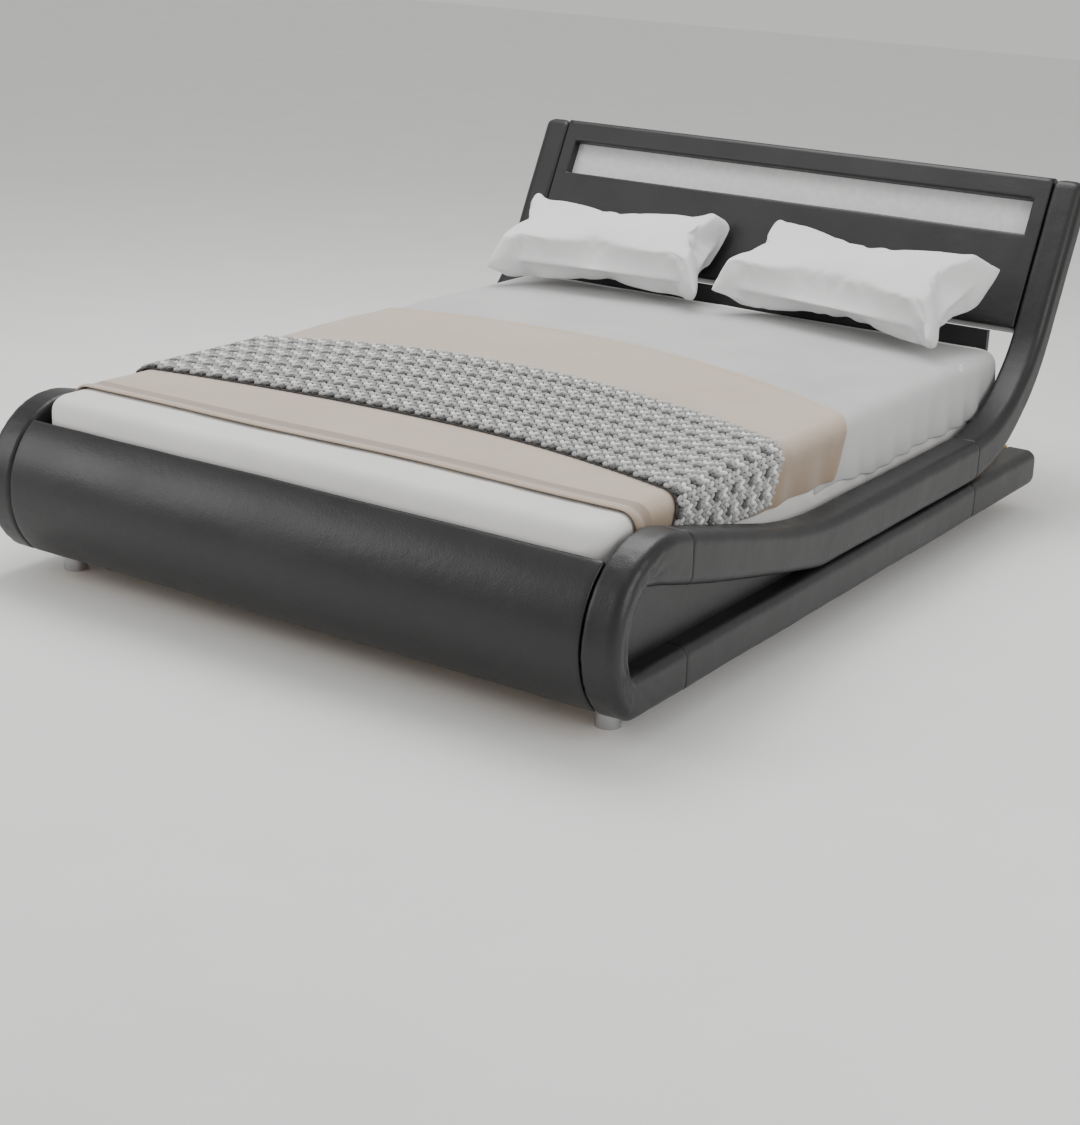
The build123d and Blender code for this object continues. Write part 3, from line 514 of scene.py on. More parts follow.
wing_edges = matched(
    [arc((front_sweep_at, ARM_TOP + FRONT_SWEEP), FRONT_SWEEP,
         270 + math.degrees(math.asin((HEAD_JOINT - front_sweep_at) / FRONT_SWEEP)), sweep_end),
     [(lean_line(ARM_TOP + FRONT_SWEEP * (1 - lean_run)), ARM_TOP + FRONT_SWEEP * (1 - lean_run)),
      (TOP_FRONT, TOP_EDGE)]],
    [arc((back_sweep_at, ARM_BOTTOM + BACK_SWEEP), BACK_SWEEP,
         270 + math.degrees(math.asin((HEAD_JOINT - back_sweep_at) / BACK_SWEEP)), sweep_end),
     [(lean_line(ARM_BOTTOM + BACK_SWEEP * (1 - lean_run), WING_THICKNESS),
       ARM_BOTTOM + BACK_SWEEP * (1 - lean_run)),
      (TOP_FRONT + WING_THICKNESS * lean_rise, TOP_EDGE - WING_THICKNESS * lean_run)]])
print("edges of five stretches")

# %% [markdown]
# ### Making the ten covers
# Leather pulled round a tight bend gathers into short puckers, strongest inside the bend and gone a
# hand's width away. They are cut into the mesh as ridges that run across the ribbon, and a slow swell
# of a millimetre or so keeps the long faces from looking like sheet metal.

# %% Side covers
SEAM = (SEAM_ROLL, SEAM_ROLL, SEAM_ROLL)
WING_TOP = (20 * MM, 40 * MM, 22 * MM)
TAIL_ROUND = (26 * MM, 26 * MM, 18 * MM)
PUCKER_DEPTH, PUCKER_REACH = 2.6 * MM, 95 * MM
stretches = {
    "curl": (curl_edges, SEAM, SEAM),
    "arm": (arm_edges, SEAM, SEAM),
    "rail": (rail_edges, SEAM, SEAM),
    "wing": (wing_edges, SEAM, WING_TOP),
    "tail": (tail_edges, SEAM, TAIL_ROUND),
}
pucker_centres = [(FRONT_Y + niche_corner[0], niche_corner[1]),
                  (FRONT_Y + CURL_RADIUS - niche_radius * 0.9, RAIL_TOP)]


def leather_swell(points):
    """A slow unevenness of foam under leather, with puckers round the curl's tight inner bends."""
    amount = 1.1 * MM * waves(points, 0.16, 1) + 0.5 * MM * waves(points, 0.05, 2)
    for y, z in pucker_centres:
        away = np.hypot(points[:, 1] - y, points[:, 2] - z)
        round_bend = np.arctan2(points[:, 2] - z, points[:, 1] - y)
        ridges = np.abs(np.sin(round_bend * 7 + 2.5 * waves(points, 0.07, 3)))
        amount -= PUCKER_DEPTH * (1 - ridges) ** 2 * np.exp(-(away / PUCKER_REACH) ** 2)
    return amount


for side in ("left", "right"):
    for stretch, (edges, first_end, last_end) in stretches.items():
        node = f"{side}_{stretch}_cover"
        cover = ribbon(f"{side}_{stretch}_leather", edges, node, (INSIDE_ROUND, OUTSIDE_ROUND),
                       first_end, last_end)
        push(cover, leather_swell)
        dress(cover, "frame", "black_faux_leather", LEATHER, node)

# %% [markdown]
# ## The footboard
# Between the two curls hangs one wide panel of the same leather, a shell with the curl's own round
# front and a flat face towards the mattress. Its section is drawn once and carried across the bed. The
# foam is never quite even, so the front gets a very slow ripple that catches the light in soft bands.

# %% Footboard cover
foot_low, foot_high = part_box("footboard_cover")
FOOT_DEPTH = foot_high.y - foot_low.y
half_chord = math.sqrt(CURL_RADIUS**2 - (CURL_RADIUS - FOOT_DEPTH)**2)
top_angle = 180 - math.degrees(math.atan2(half_chord, CURL_RADIUS - FOOT_DEPTH))
section = np.vstack([arc(CURL_CENTRE, CURL_RADIUS, curl_end, top_angle, 90),
                     [(FOOT_DEPTH, CURL_CENTRE[1] + half_chord - 1 * MM)], [(FOOT_DEPTH, RAIL_BOTTOM)],
                     [arc(CURL_CENTRE, CURL_RADIUS, curl_end, curl_end, 1)[0]]])
section = respaced(section, 400)
closed = np.vstack([section[:-1]] * 3)
blend_width = 11
smooth_section = softened(closed, blend_width)[len(section) - 1:2 * (len(section) - 1):2]
middle_point = smooth_section.mean(axis=0)


def across_bed(section, low_x, high_x, roll, step, name):
    """Carry a closed section across the bed, drawn in towards its middle at both ends."""
    along = stops(high_x - low_x, roll, roll, step)
    inward = rolled_in(along, roll) + rolled_in(along[-1] - along, roll)
    tangent = np.roll(section, -1, axis=0) - np.roll(section, 1, axis=0)
    normal = np.column_stack([tangent[:, 1], -tangent[:, 0]])
    normal /= np.linalg.norm(normal, axis=1)[:, None]
    if ((section - middle_point) * normal).sum() < 0:
        normal = -normal
    rows = []
    for a, draw in zip(along, inward):
        ring = section - normal * draw
        rows.append(np.column_stack([np.full(len(ring), low_x + a), ring[:, 0] + FRONT_Y, ring[:, 1]]))
    points = np.array(rows)
    count, columns = points.shape[:2]
    faces = grid_faces(count, columns, wrap=True)
    faces += [tuple(range(columns)), tuple(range((count - 1) * columns, count * columns))]
    piece = new_mesh(name, points, faces)
    point_outward(piece)
    return piece


def footboard_swell(points):
    """Slow ripples that lie along the panel, as foam over ribs gives."""
    stretched = points * np.array([0.45, 1.0, 1.0])
    return 1.6 * MM * waves(stretched, 0.13, 11) + 0.5 * MM * waves(stretched, 0.045, 12)


footboard = across_bed(smooth_section, foot_low.x, foot_high.x, SEAM_ROLL, 14 * MM, "footboard_leather")
push(footboard, footboard_swell)
dress(footboard, "frame", "black_faux_leather", LEATHER, "footboard_cover")

# %% [markdown]
# ## The headboard and its window
# The leaning panel is one padded frame round a long, low window. It is built as nested rectangles, from
# the panel's outer edge in to the window and down its reveal, so every row of faces follows an edge
# and both edges can be rounded as upholstery is: generously outside, tightly at the window.

# %% Headboard cover
PANEL_ROUND, WINDOW_ROUND, BOARD_SINK = 14 * MM, 6 * MM, 14 * MM
WINDOW_INSET, WINDOW_DROP, WINDOW_HEIGHT, WINDOW_DEPTH = 43 * MM, 65 * MM, 98 * MM, 30 * MM
PANEL_THICKNESS, PANEL_FOOT = 60 * MM, 490 * MM
panel_half = panel_high.x
panel_length = (TOP_EDGE - PANEL_FOOT) / lean_rise
window_half = wing_low.x - WINDOW_INSET


def on_panel(x, drop, depth):
    """A place on the leaning panel: across, down its face from the top edge, and back from its face."""
    y = FRONT_Y + TOP_FRONT - drop * lean_run + depth * lean_rise
    return (x, y, TOP_EDGE - drop * lean_rise - depth * lean_run)


def loop_points(half, top, bottom, depth, side_count, end_count):
    """A rectangle on the panel with the same number of points whatever its size."""
    xs = np.linspace(-half, half, side_count, endpoint=False)
    ds = np.linspace(top, bottom, end_count, endpoint=False)
    loop = [(x, top) for x in xs] + [(half, d) for d in ds]
    loop += [(-x, bottom) for x in xs] + [(-half, top + bottom - d) for d in ds]
    return [on_panel(x, d, depth) for x, d in loop]


outer_frame = (panel_half, 0.0, panel_length)
window_frame = (window_half, WINDOW_DROP, WINDOW_DROP + WINDOW_HEIGHT)


def grown(frame_sizes, margin, end_margin=None):
    """A rectangle made larger all round, or smaller with a negative margin."""
    half, top, bottom = frame_sizes
    return (half + (margin if end_margin is None else end_margin), top - margin, bottom + margin)


loops = [(grown(outer_frame, 0), PANEL_THICKNESS), (grown(outer_frame, 0), PANEL_THICKNESS * 0.6)]
for a in np.linspace(0, math.pi / 2, 7):
    draw = PANEL_ROUND * (1 - math.sin(a))
    loops.append((grown(outer_frame, -PANEL_ROUND * (1 - math.cos(a)), -SEAM_ROLL * (1 - math.cos(a))), draw))
face_start, face_end = grown(outer_frame, -PANEL_ROUND, -SEAM_ROLL), grown(window_frame, WINDOW_ROUND)
for share in np.linspace(0, 1, 26)[1:]:
    loops.append((tuple(a + (b - a) * share for a, b in zip(face_start, face_end)), 0.0))
for a in np.linspace(0, math.pi / 2, 5)[1:]:
    loops.append((grown(window_frame, WINDOW_ROUND * (1 - math.sin(a))), WINDOW_ROUND * (1 - math.cos(a))))
loops.append((window_frame, WINDOW_DEPTH - 0.5 * MM))
loops.append((grown(window_frame, 4 * MM), WINDOW_DEPTH - 0.5 * MM))
loops.append((grown(window_frame, 4 * MM), BOARD_SINK + 2 * MM))
loops.append((grown(outer_frame, -BOARD_SINK, -1 * MM), BOARD_SINK))
loops.append((grown(outer_frame, -BOARD_SINK, -1 * MM), PANEL_THICKNESS))
panel_rows = np.array([loop_points(*sizes, depth, 96, 28) for sizes, depth in loops])
around = panel_rows.shape[1]
panel_faces = grid_faces(len(panel_rows), around, wrap=True)
last_row = (len(panel_rows) - 1) * around
panel_faces += [(last_row + j, last_row + (j + 1) % around, (j + 1) % around, j) for j in range(around)]
headboard = new_mesh("headboard_leather", panel_rows, panel_faces)
point_outward(headboard)


def headboard_swell(points):
    """Slow ripples on the panel's face only, so that its edges stay straight."""
    height = (points[:, 2] - panel_low.z) / (panel_high.z - panel_low.z)
    edge = ease(np.minimum(height, 1 - height), 0.03, 0.12)
    edge = edge * ease(panel_half - np.abs(points[:, 0]), 0.02, 0.09)
    return edge * (1.0 * MM * waves(points * np.array([0.5, 1, 1]), 0.12, 21))


push(headboard, headboard_swell)
dress(headboard, "frame", "black_faux_leather", LEATHER, "headboard_cover")

# %% [markdown]
# ## Woven and knitted cloths
# Cloth reads by three things: its colour, the scale of its threads, and how softly it turns light at its
# edges. Each cloth carries its own flat measure as UVs, in metres from its middle and its front edge,
# so the threads follow the cloth over every bend. Cotton threads lie 0.4 mm apart, which can't be seen
# from here, so they are drawn 3 mm apart and shallow.

# %% Cloth materials
THREAD = 3 * MM


def woven(name, first, second, pitch, depth, roughness=0.85, sheen=0.15, patch=0.25):
    """A plain weave on the cloth's own UVs, with a soft change of colour in patches."""
    made, tree, shader = start_material(name, first, roughness, Sheen_Weight=sheen, Sheen_Roughness=0.5)
    flat = (add(tree, "ShaderNodeUVMap", {"uv_map": "cloth"}), "UV")
    mottle(tree, flat, patch, first, second, shader)
    warp = add(tree, "ShaderNodeTexWave", {"bands_direction": "X"},
               {"Scale": 0.314 / pitch, "Distortion": 0.6}, {"Vector": flat})
    weft = add(tree, "ShaderNodeTexWave", {"bands_direction": "Y"},
               {"Scale": 0.314 / pitch, "Distortion": 0.6}, {"Vector": flat})
    both = add(tree, "ShaderNodeMath", {"operation": "MULTIPLY"}, links={0: (warp, "Fac"), 1: (weft, "Fac")})
    soft = add(tree, "ShaderNodeTexNoise", {}, {"Scale": 1 / (60 * MM), "Detail": 4.0}, {"Vector": flat})
    under = relief(tree, (soft, "Fac"), shader, 3 * MM, 0.35)
    relief(tree, (both, "Value"), shader, depth, 0.6, under)
    return made, tree, shader, flat


TICKING = woven("mattress_ticking", "dedede", "d2d2d0", 4 * MM, 0.5 * MM)[0]
FITTED = woven("fitted_sheet_cotton", "e4e3e1", "dbdad8", THREAD, 0.2 * MM)[0]
TOP_COTTON = woven("top_sheet_cotton", "c0bfbf", "b6b5b5", THREAD, 0.2 * MM)[0]
PILLOW_COTTON = woven("pillow_cotton", "e3e3e3", "d9d9d9", THREAD, 0.2 * MM)[0]
print(TICKING.name, FITTED.name, TOP_COTTON.name, PILLOW_COTTON.name)

# %% [markdown]
# ## Mattress
# A foam mattress in quilted ticking. Most of it is hidden, but its lower band shows from the side. A copy
# of the simple solid is remeshed finely, softened, and quilted by pushing shallow diamond valleys into
# its sides.

# %% Mattress
def remeshed(node, name, voxel, smoothing):
    """A copy of a CAD solid with an even, soft mesh."""
    copy = bpy.data.objects.new(name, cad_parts[node].data.copy())
    bpy.context.scene.collection.objects.link(copy)
    shape = bmesh.new()
    shape.from_mesh(copy.data)
    bmesh.ops.remove_doubles(shape, verts=shape.verts, dist=0.01 * MM)
    shape.to_mesh(copy.data)
    shape.free()
    rebuild = copy.modifiers.new("even", "REMESH")
    rebuild.mode, rebuild.voxel_size, rebuild.use_smooth_shade = "VOXEL", voxel, True
    soften = copy.modifiers.new("soft", "SMOOTH")
    soften.factor, soften.iterations = 0.5, smoothing
    return settled(copy)


def settled(piece):
    """The piece with its modifiers made part of its mesh."""
    graph = bpy.context.evaluated_depsgraph_get()
    mesh = bpy.data.meshes.new_from_object(piece.evaluated_get(graph))
    piece.modifiers.clear()
    piece.data = mesh
    return piece


mattress = remeshed("mattress", "mattress_core", 12 * MM, 3)
mattress_low, mattress_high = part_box("mattress")
QUILT_PITCH = 70 * MM


def quilting(points):
    """Diamond valleys on the mattress's upright sides."""
    height = (points[:, 2] - mattress_low.z) / (mattress_high.z - mattress_low.z)
    along = points[:, 0] + points[:, 1]
    valley = np.minimum(np.abs(np.sin(math.pi * (along + points[:, 2]) / QUILT_PITCH)),
                        np.abs(np.sin(math.pi * (along - points[:, 2]) / QUILT_PITCH)))
    return -2.2 * MM * (1 - valley) ** 4 * ease(0.5 - np.abs(height - 0.5), 0.08, 0.2)


push(mattress, quilting)
places = points_and_normals(mattress.data)[0]
side_uvs = np.column_stack([places[:, 0] + places[:, 1], places[:, 2]])
layer = mattress.data.uv_layers.new(name="cloth")
corner_points = np.zeros(len(mattress.data.loops), np.int32)
mattress.data.loops.foreach_get("vertex_index", corner_points)
layer.data.foreach_set("uv", side_uvs[corner_points].astype(np.float32).ravel())
dress(mattress, "mattress", "mattress_ticking", TICKING, "mattress")

# %% [markdown]
# ## Fitted sheet
# An elastic hem pulls this sheet tight round the mattress, so it follows the block with a few small
# tension creases that run out from the corners. It is drawn as rings that follow the mattress's rounded
# outline, from the hem up the sides, over the edge and in towards the middle.

# %% Fitted sheet
sheet_low, sheet_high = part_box("fitted_sheet")
SHEET_EDGE, SHEET_CORNER = 31.5 * MM, 61.5 * MM
INNER_HALF, CORNER_CLOSING = 6 * MM, 0.7


def rounded_outline(half_x, low_y, high_y, corner, side=56, end=44, turn_points=10):
    """A rounded rectangle's points as seen from above, anticlockwise."""
    corner = max(min(corner, half_x * 0.95, (high_y - low_y) * 0.47), 0.5 * MM)
    centres = [(half_x - corner, high_y - corner, 0), (-half_x + corner, high_y - corner, 90),
               (-half_x + corner, low_y + corner, 180), (half_x - corner, low_y + corner, 270)]
    counts = [end, side, end, side]
    outline = []
    for i, (cx, cy, first) in enumerate(centres):
        bend = arc((cx, cy), corner, first, first + 90, turn_points)
        nx, ny, next_first = centres[(i + 1) % 4]
        start = arc((nx, ny), corner, next_first, next_first, 1)[0]
        straight = np.linspace(bend[-1], start, counts[i] + 1, endpoint=False)[1:]
        outline.append(np.vstack([bend, straight]))
    return np.vstack(outline)


profile = [(0.0, z) for z in np.linspace(sheet_low.z, sheet_high.z - SHEET_EDGE, 12)]
profile += [(SHEET_EDGE * (1 - math.cos(a)), sheet_high.z - SHEET_EDGE * (1 - math.sin(a)))
            for a in np.linspace(0, math.pi / 2, 6)[1:]]
profile += [(d, sheet_high.z) for d in np.linspace(SHEET_EDGE, sheet_high.x - INNER_HALF, 30)[1:]]
outlines = []
for d, z in profile:
    flat_ring = rounded_outline(sheet_high.x - d, sheet_low.y + d, sheet_high.y - d,
                                SHEET_CORNER - d * CORNER_CLOSING)
    outlines.append(np.column_stack([flat_ring, np.full(len(flat_ring), z)]))
rings = np.array(outlines)
count = rings.shape[1]
sheet_faces = grid_faces(len(rings), count, wrap=True)
last_ring = (len(rings) - 1) * count
# The innermost ring is closed with quads from its right side to the matching points on its left.
mirrored = int(np.argmin(np.linalg.norm(rings[-1] - rings[-1][0] * [-1, 1, 1], axis=1)))
right = [mirrored // 2 - k for k in range(count // 2)]
for upper, lower in zip(right, right[1:]):
    strip = (upper, mirrored - upper, mirrored - lower, lower)
    sheet_faces.append(tuple(last_ring + i % count for i in strip))
sheet_middle = (sheet_low.y + sheet_high.y) / 2
flat_uv = np.array([(x + np.sign(x) * (sheet_high.z - z), y + np.sign(y - sheet_middle) * (sheet_high.z - z))
                    for x, y, z in rings.reshape(-1, 3)])
fitted = new_mesh("fitted_sheet_cloth", rings, sheet_faces, flat_uv)


def tension(points):
    """Creases that run out from the corners and fade towards the middle, and a gathered hem."""
    corner_x, corner_y = sheet_high.x - SHEET_CORNER, (sheet_high.y - sheet_low.y) / 2 - SHEET_CORNER
    dx, dy = corner_x - np.abs(points[:, 0]), corner_y - np.abs(points[:, 1] - sheet_middle)
    away = np.hypot(dx, dy)
    angle = np.arctan2(dy, dx)
    rays = np.abs(np.sin(angle * 9 + 1.5 * waves(points, 0.2, 31)))
    amount = 2.2 * MM * (1 - rays) ** 3 * np.exp(-away / 0.22)
    slack = 1 - np.abs(waves(points * np.array([1, 0.6, 1]), 0.22, 32))
    amount += 1.8 * MM * slack ** 8 * ease(points[:, 2], sheet_low.z + 40 * MM, sheet_high.z)
    hem = 1 - ease(points[:, 2], sheet_low.z, sheet_low.z + 60 * MM)
    return amount + hem * 2.0 * MM * waves(points * np.array([1, 1, 0.2]), 0.03, 33)


push(fitted, tension)


def thick(piece, thickness, rounding=1):
    """Give a cloth its thickness inwards from the surface that was drawn."""
    body = piece.modifiers.new("thickness", "SOLIDIFY")
    body.thickness, body.offset = thickness, -1.0
    if rounding:
        soft = piece.modifiers.new("rounding", "SUBSURF")
        soft.levels = soft.render_levels = rounding
    return piece


thick(fitted, 1.2 * MM, 1)
dress(fitted, "mattress", "fitted_sheet_cotton", FITTED, "fitted_sheet")

# %% [markdown]
# ## Cloths laid across the bed
# The sheet, the blanket and the knitted throw all do the same thing: lie flat, turn over the mattress's
# rounded edge, and hang. One function draws that from a flat cloth's own measure, so no cloth is
# stretched. Its wrinkles come as creases on the flat and as folds that deepen towards the hem.

# %% Lay a cloth over the mattress
class Laid:
    """A cloth laid over the mattress, addressed by its flat measure across the bed and along it."""

    def __init__(self, node, thickness, drop):
        low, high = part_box(node)
        self.half, self.top = high.x, high.z
        self.corner = 30 * MM + thickness + 2 * MM
        self.turn = self.corner * math.pi / 2
        self.flat_half = self.half - self.corner
        self.reach = self.flat_half + self.turn + drop - self.corner
        self.front, self.back = low.y - FRONT_Y, high.y - FRONT_Y

    def place(self, across, along, lift):
        """Points for arrays of flat measures, raised off the bed by lift."""
        beyond = np.abs(across) - self.flat_half
        bend = np.clip(beyond / self.turn, 0, 1) * math.pi / 2
        hang = np.maximum(beyond - self.turn, 0)
        x = np.minimum(np.abs(across), self.flat_half) + (self.corner + lift) * np.sin(bend)
        z = self.top - self.corner + (self.corner + lift) * np.cos(bend) - hang
        return np.stack([np.sign(across) * x, along + FRONT_Y, z], axis=-1)


def creases(across, along, size, seed, stretch=(1.0, 1.0), sharp=6):
    """Thin raised lines that wander over the flat cloth, from 0 to 1."""
    spots = np.column_stack([across.ravel() * stretch[0], along.ravel() * stretch[1], np.zeros(across.size)])
    return ((1 - np.abs(waves(spots, size, seed))) ** sharp).reshape(across.shape)


def swell(across, along, size, seed, stretch=(1.0, 1.0)):
    """Slow rises and falls over the flat cloth, from about -1 to 1."""
    spots = np.column_stack([across.ravel() * stretch[0], along.ravel() * stretch[1], np.zeros(across.size)])
    return waves(spots, size, seed).reshape(across.shape)


def cloth_grid(name, laid, front_edge, back_edge, step, lift, hem_wave, seed):
    """A cloth from its front edge to its back edge, each a function of the measure across."""
    across = np.linspace(-laid.reach, laid.reach, int(2 * laid.reach / step))
    share = np.linspace(0, 1, int((laid.back - laid.front) / step) + 1)
    front, back = front_edge(across), back_edge(across)
    s = np.repeat(across[:, None], len(share), axis=1)
    u = front[:, None] + (back - front)[:, None] * share[None, :]
    hanging = ease(np.abs(s), laid.flat_half + laid.turn * 0.4, laid.reach)
    s = s + np.sign(s) * hanging * hem_wave * swell(np.sign(s), u, 0.16, seed)
    points = laid.place(s, u, lift(s, u, hanging))
    uvs = np.stack([s, u - front[:, None]], axis=-1).reshape(-1, 2)
    piece = new_mesh(name, points, grid_faces(*s.shape), uvs)
    up = points_and_normals(piece.data)[1]
    if up[:, 2].sum() < 0:
        piece.data.flip_normals()
    return piece


def folds(u, seed, pitch):
    """Folds of a hanging edge, 0 to 1, about one pitch apart but never quite even."""
    flow = swell(np.zeros_like(u), u, 0.3, seed) * 2.2
    return 0.5 + 0.5 * np.sin(2 * math.pi * u / pitch + flow)


print("cloth helpers ready")

# %% [markdown]
# ### Top sheet
# A light grey cotton sheet lies over the mattress at the head end, under the blanket and the pillows,
# and hangs in soft vertical folds at both sides.

# %% Top sheet
top_sheet_at = Laid("top_sheet", 1.6 * MM, 150 * MM)
throw_at = Laid("throw_blanket", 5 * MM, 130 * MM)
knit_at = Laid("knit_throw", 5 * MM, 120 * MM)


def throw_back_edge(across):
    """The blanket's back edge lies askew: it reaches furthest near the middle."""
    return 1.45 - 0.33 * (across + 0.2) ** 2


def sheet_lift(s, u, hanging):
    clear = ease(u, throw_back_edge(s) + 0.01, throw_back_edge(s) + 0.08)
    under_pillows = 1 - ease(u, 1.70, 1.82) * (1 - hanging)
    flat = 5 * MM * creases(s, u, 0.30, 41, (1.0, 0.7)) + 3 * MM * creases(s, u, 0.16, 42)
    hung = 11 * MM * folds(u, 43, 0.105) * hanging ** 1.2
    return clear * (flat * (1 - hanging) * under_pillows + hung)


top_sheet = cloth_grid("top_sheet_cloth", top_sheet_at, lambda s: np.full_like(s, top_sheet_at.front),
                       lambda s: np.full_like(s, top_sheet_at.back), 15 * MM, sheet_lift, 14 * MM, 44)
thick(top_sheet, 1.6 * MM, 1)
dress(top_sheet, "mattress", "top_sheet_cotton", TOP_COTTON, "top_sheet")

# %% [markdown]
# ### Beige blanket
# A soft brushed blanket lies across the foot half. Its front edge is rolled in a narrow binding with a
# darker band behind it, and its face is a pale beige, painted darker where it hangs down the sides as
# painted shade. The bands are painted by the cloth's own measure from its front edge, and the roll and
# the sewn line behind it are real relief; a thin dark line painted along that sewn line is painted shade.

# %% Beige blanket
def blanket_material():
    made, tree, shader, flat = woven("brushed_beige_blanket", "bba996", "b19f8c", 5 * MM, 0.5 * MM, 0.9, 0.5)
    measure = add(tree, "ShaderNodeSeparateXYZ", links={"Vector": flat})
    ramp = add(tree, "ShaderNodeValToRGB")
    nap = shader.inputs["Base Color"].links[0].from_node
    scaled = add(tree, "ShaderNodeMapRange", values={"From Max": 0.2}, links={"Value": (measure, "Y")})
    wire(tree, scaled, "Result", ramp, "Fac")
    # The dark stop at 0.13, 26 mm behind the front edge, is painted shade in the groove where the roll meets
    # the face.
    stops_at = [(0.0, "b9a795"), (0.115, "b09d8a"), (0.13, "6f5f52"), (0.15, "8f7c6c"), (0.31, "93806f"),
                (0.34, "c9bcac"), (1.0, "ffffff")]
    for i, (position, colour) in enumerate(stops_at):
        element = ramp.color_ramp.elements[i] if i < 2 else ramp.color_ramp.elements.new(position)
        element.position, element.color = position, linear(colour)
    face = add(tree, "ShaderNodeMapRange", {}, {"From Min": 0.062, "From Max": 0.068},
               {"Value": (measure, "Y")})
    pick = add(tree, "ShaderNodeMix", {"data_type": "RGBA"},
               links={0: (face, "Result"), 6: (ramp, "Color"), 7: (nap, "Color")})
    # Painted shade: where the blanket hangs down the sides its colour is mixed towards a darker beige.
    side = add(tree, "ShaderNodeMath", {"operation": "ABSOLUTE"}, links={0: (measure, "X")})
    hanging_shade_mask = add(tree, "ShaderNodeMapRange", {"interpolation_type": "SMOOTHSTEP"},
                 {"From Min": 0.72, "From Max": 0.80}, {"Value": (side, "Value")})
    hung = add(tree, "ShaderNodeMix", {"data_type": "RGBA"}, {7: linear("8e7a66")},
               {0: (hanging_shade_mask, "Result"), 6: (pick, 2)})
    wire(tree, hung, 2, shader, "Base Color")
    return made


def blanket_front_edge(across):
    return throw_at.front + 6 * MM * np.sin(across * 3.1 + 0.8) + 4 * MM * np.sin(across * 8.3)


def knit_front_edge(across):
    return 0.49 - np.where(across > 0.05, 0.25, 0.12) * (across - 0.05) ** 2


def knit_back_edge(across):
    return 1.03 - np.where(across > -0.12, 0.28, 0.5) * (across + 0.12) ** 2


def under_knit(s, u):
    """1 where the knitted throw lies, 0 well away from it."""
    return (ease(u, knit_front_edge(s) - 0.05, knit_front_edge(s) - 0.005)
            * (1 - ease(u, knit_back_edge(s) + 0.005, knit_back_edge(s) + 0.05)))


def blanket_lift(s, u, hanging):
    from_front = u - blanket_front_edge(s)
    from_back = throw_back_edge(s) - u
    roll = 6 * MM * np.sqrt(np.clip(1 - ((from_front - 13 * MM) / (15 * MM)) ** 2, 0, 1))
    hem = 3 * MM * (1 - ease(from_back, 14 * MM, 26 * MM))
    free = 1 - under_knit(s, u)
    flat = 4 * MM * creases(s, u, 0.34, 51, (0.6, 1.0)) + 3 * MM * swell(s, u, 0.22, 52, (0.6, 1.0))
    hung = 8 * MM * folds(u, 53, 0.15) * hanging
    away = ease(from_front, 30 * MM, 90 * MM) * ease(from_back, 20 * MM, 60 * MM)
    return roll * (1 - 0.5 * hanging) + hem + free * (np.maximum(flat, 0) * (1 - hanging) * away + hung)


blanket = cloth_grid("beige_blanket_cloth", throw_at, blanket_front_edge, throw_back_edge, 14 * MM,
                     blanket_lift, 12 * MM, 54)
thick(blanket, 5 * MM, 1)
dress(blanket, "mattress", "beige_throw", blanket_material(), "throw_blanket")

# %% [markdown]
# ### Chunky knitted throw
# Thick marled yarn in black, grey and white makes this throw: each stitch is a pair of fat strands
# leaning together, about 22 mm wide. Bump alone would look printed, so every stitch is a real pair of
# strands. Geometry Nodes puts one on each point of the draped surface, turned to lie along it, and a
# colour carried by each point tells light stitches from dark ones. Under the stitches lies a thin dark grey
# sheet, which is painted shade for the depths between the strands.

# %% Knitted throw
STITCH = 22 * MM
YARN = 4.6 * MM


def yarn():
    """Marled wool: the stitch's own shade, broken up by flecks and fine fibres."""
    made, tree, shader = start_material("marled_wool", "8a8a8a", 0.95, Sheen_Weight=0.3, Sheen_Roughness=0.6)
    shade = add(tree, "ShaderNodeAttribute", {"attribute_name": "shade"})
    place = (add(tree, "ShaderNodeTexCoord"), "Object")
    flecks = add(tree, "ShaderNodeTexNoise", {}, {"Scale": 1 / (5 * MM), "Detail": 3.0}, {"Vector": place})
    varied = add(tree, "ShaderNodeMapRange", {},
                 {"From Min": 0.3, "From Max": 0.7, "To Min": -0.16, "To Max": 0.16},
                 {"Value": (flecks, "Fac")})
    total = add(tree, "ShaderNodeMath", {"operation": "ADD"}, {}, {0: (shade, "Fac"), 1: (varied, "Result")})
    ramp = add(tree, "ShaderNodeValToRGB", links={"Fac": (total, "Value")})
    ramp.color_ramp.elements[0].color, ramp.color_ramp.elements[1].color = linear("2c2c2e"), linear("e6e5e3")
    ramp.color_ramp.elements.new(0.5).color = linear("929291")
    wire(tree, ramp, "Color", shader, "Base Color")
    fibres = add(tree, "ShaderNodeTexNoise", {}, {"Scale": 1 / (2.5 * MM), "Detail": 2.0}, {"Vector": place})
    relief(tree, (fibres, "Fac"), shader, 0.8 * MM, 0.6)
    return made


WOOL = yarn()


def knit_lift(s, u, hanging):
    return 2 * MM * swell(s, u, 0.25, 61) * (1 - hanging) + 2 * MM + 3 * MM * folds(u, 62, 0.13) * hanging


# This draped sheet lies just under the stitches and is coloured dark grey as painted shade.
knit = cloth_grid("knit_throw_cloth", knit_at, knit_front_edge, knit_back_edge, STITCH / 2,
                  lambda s, u, hanging: knit_lift(s, u, hanging) - 3.4 * MM, 0.0, 64)


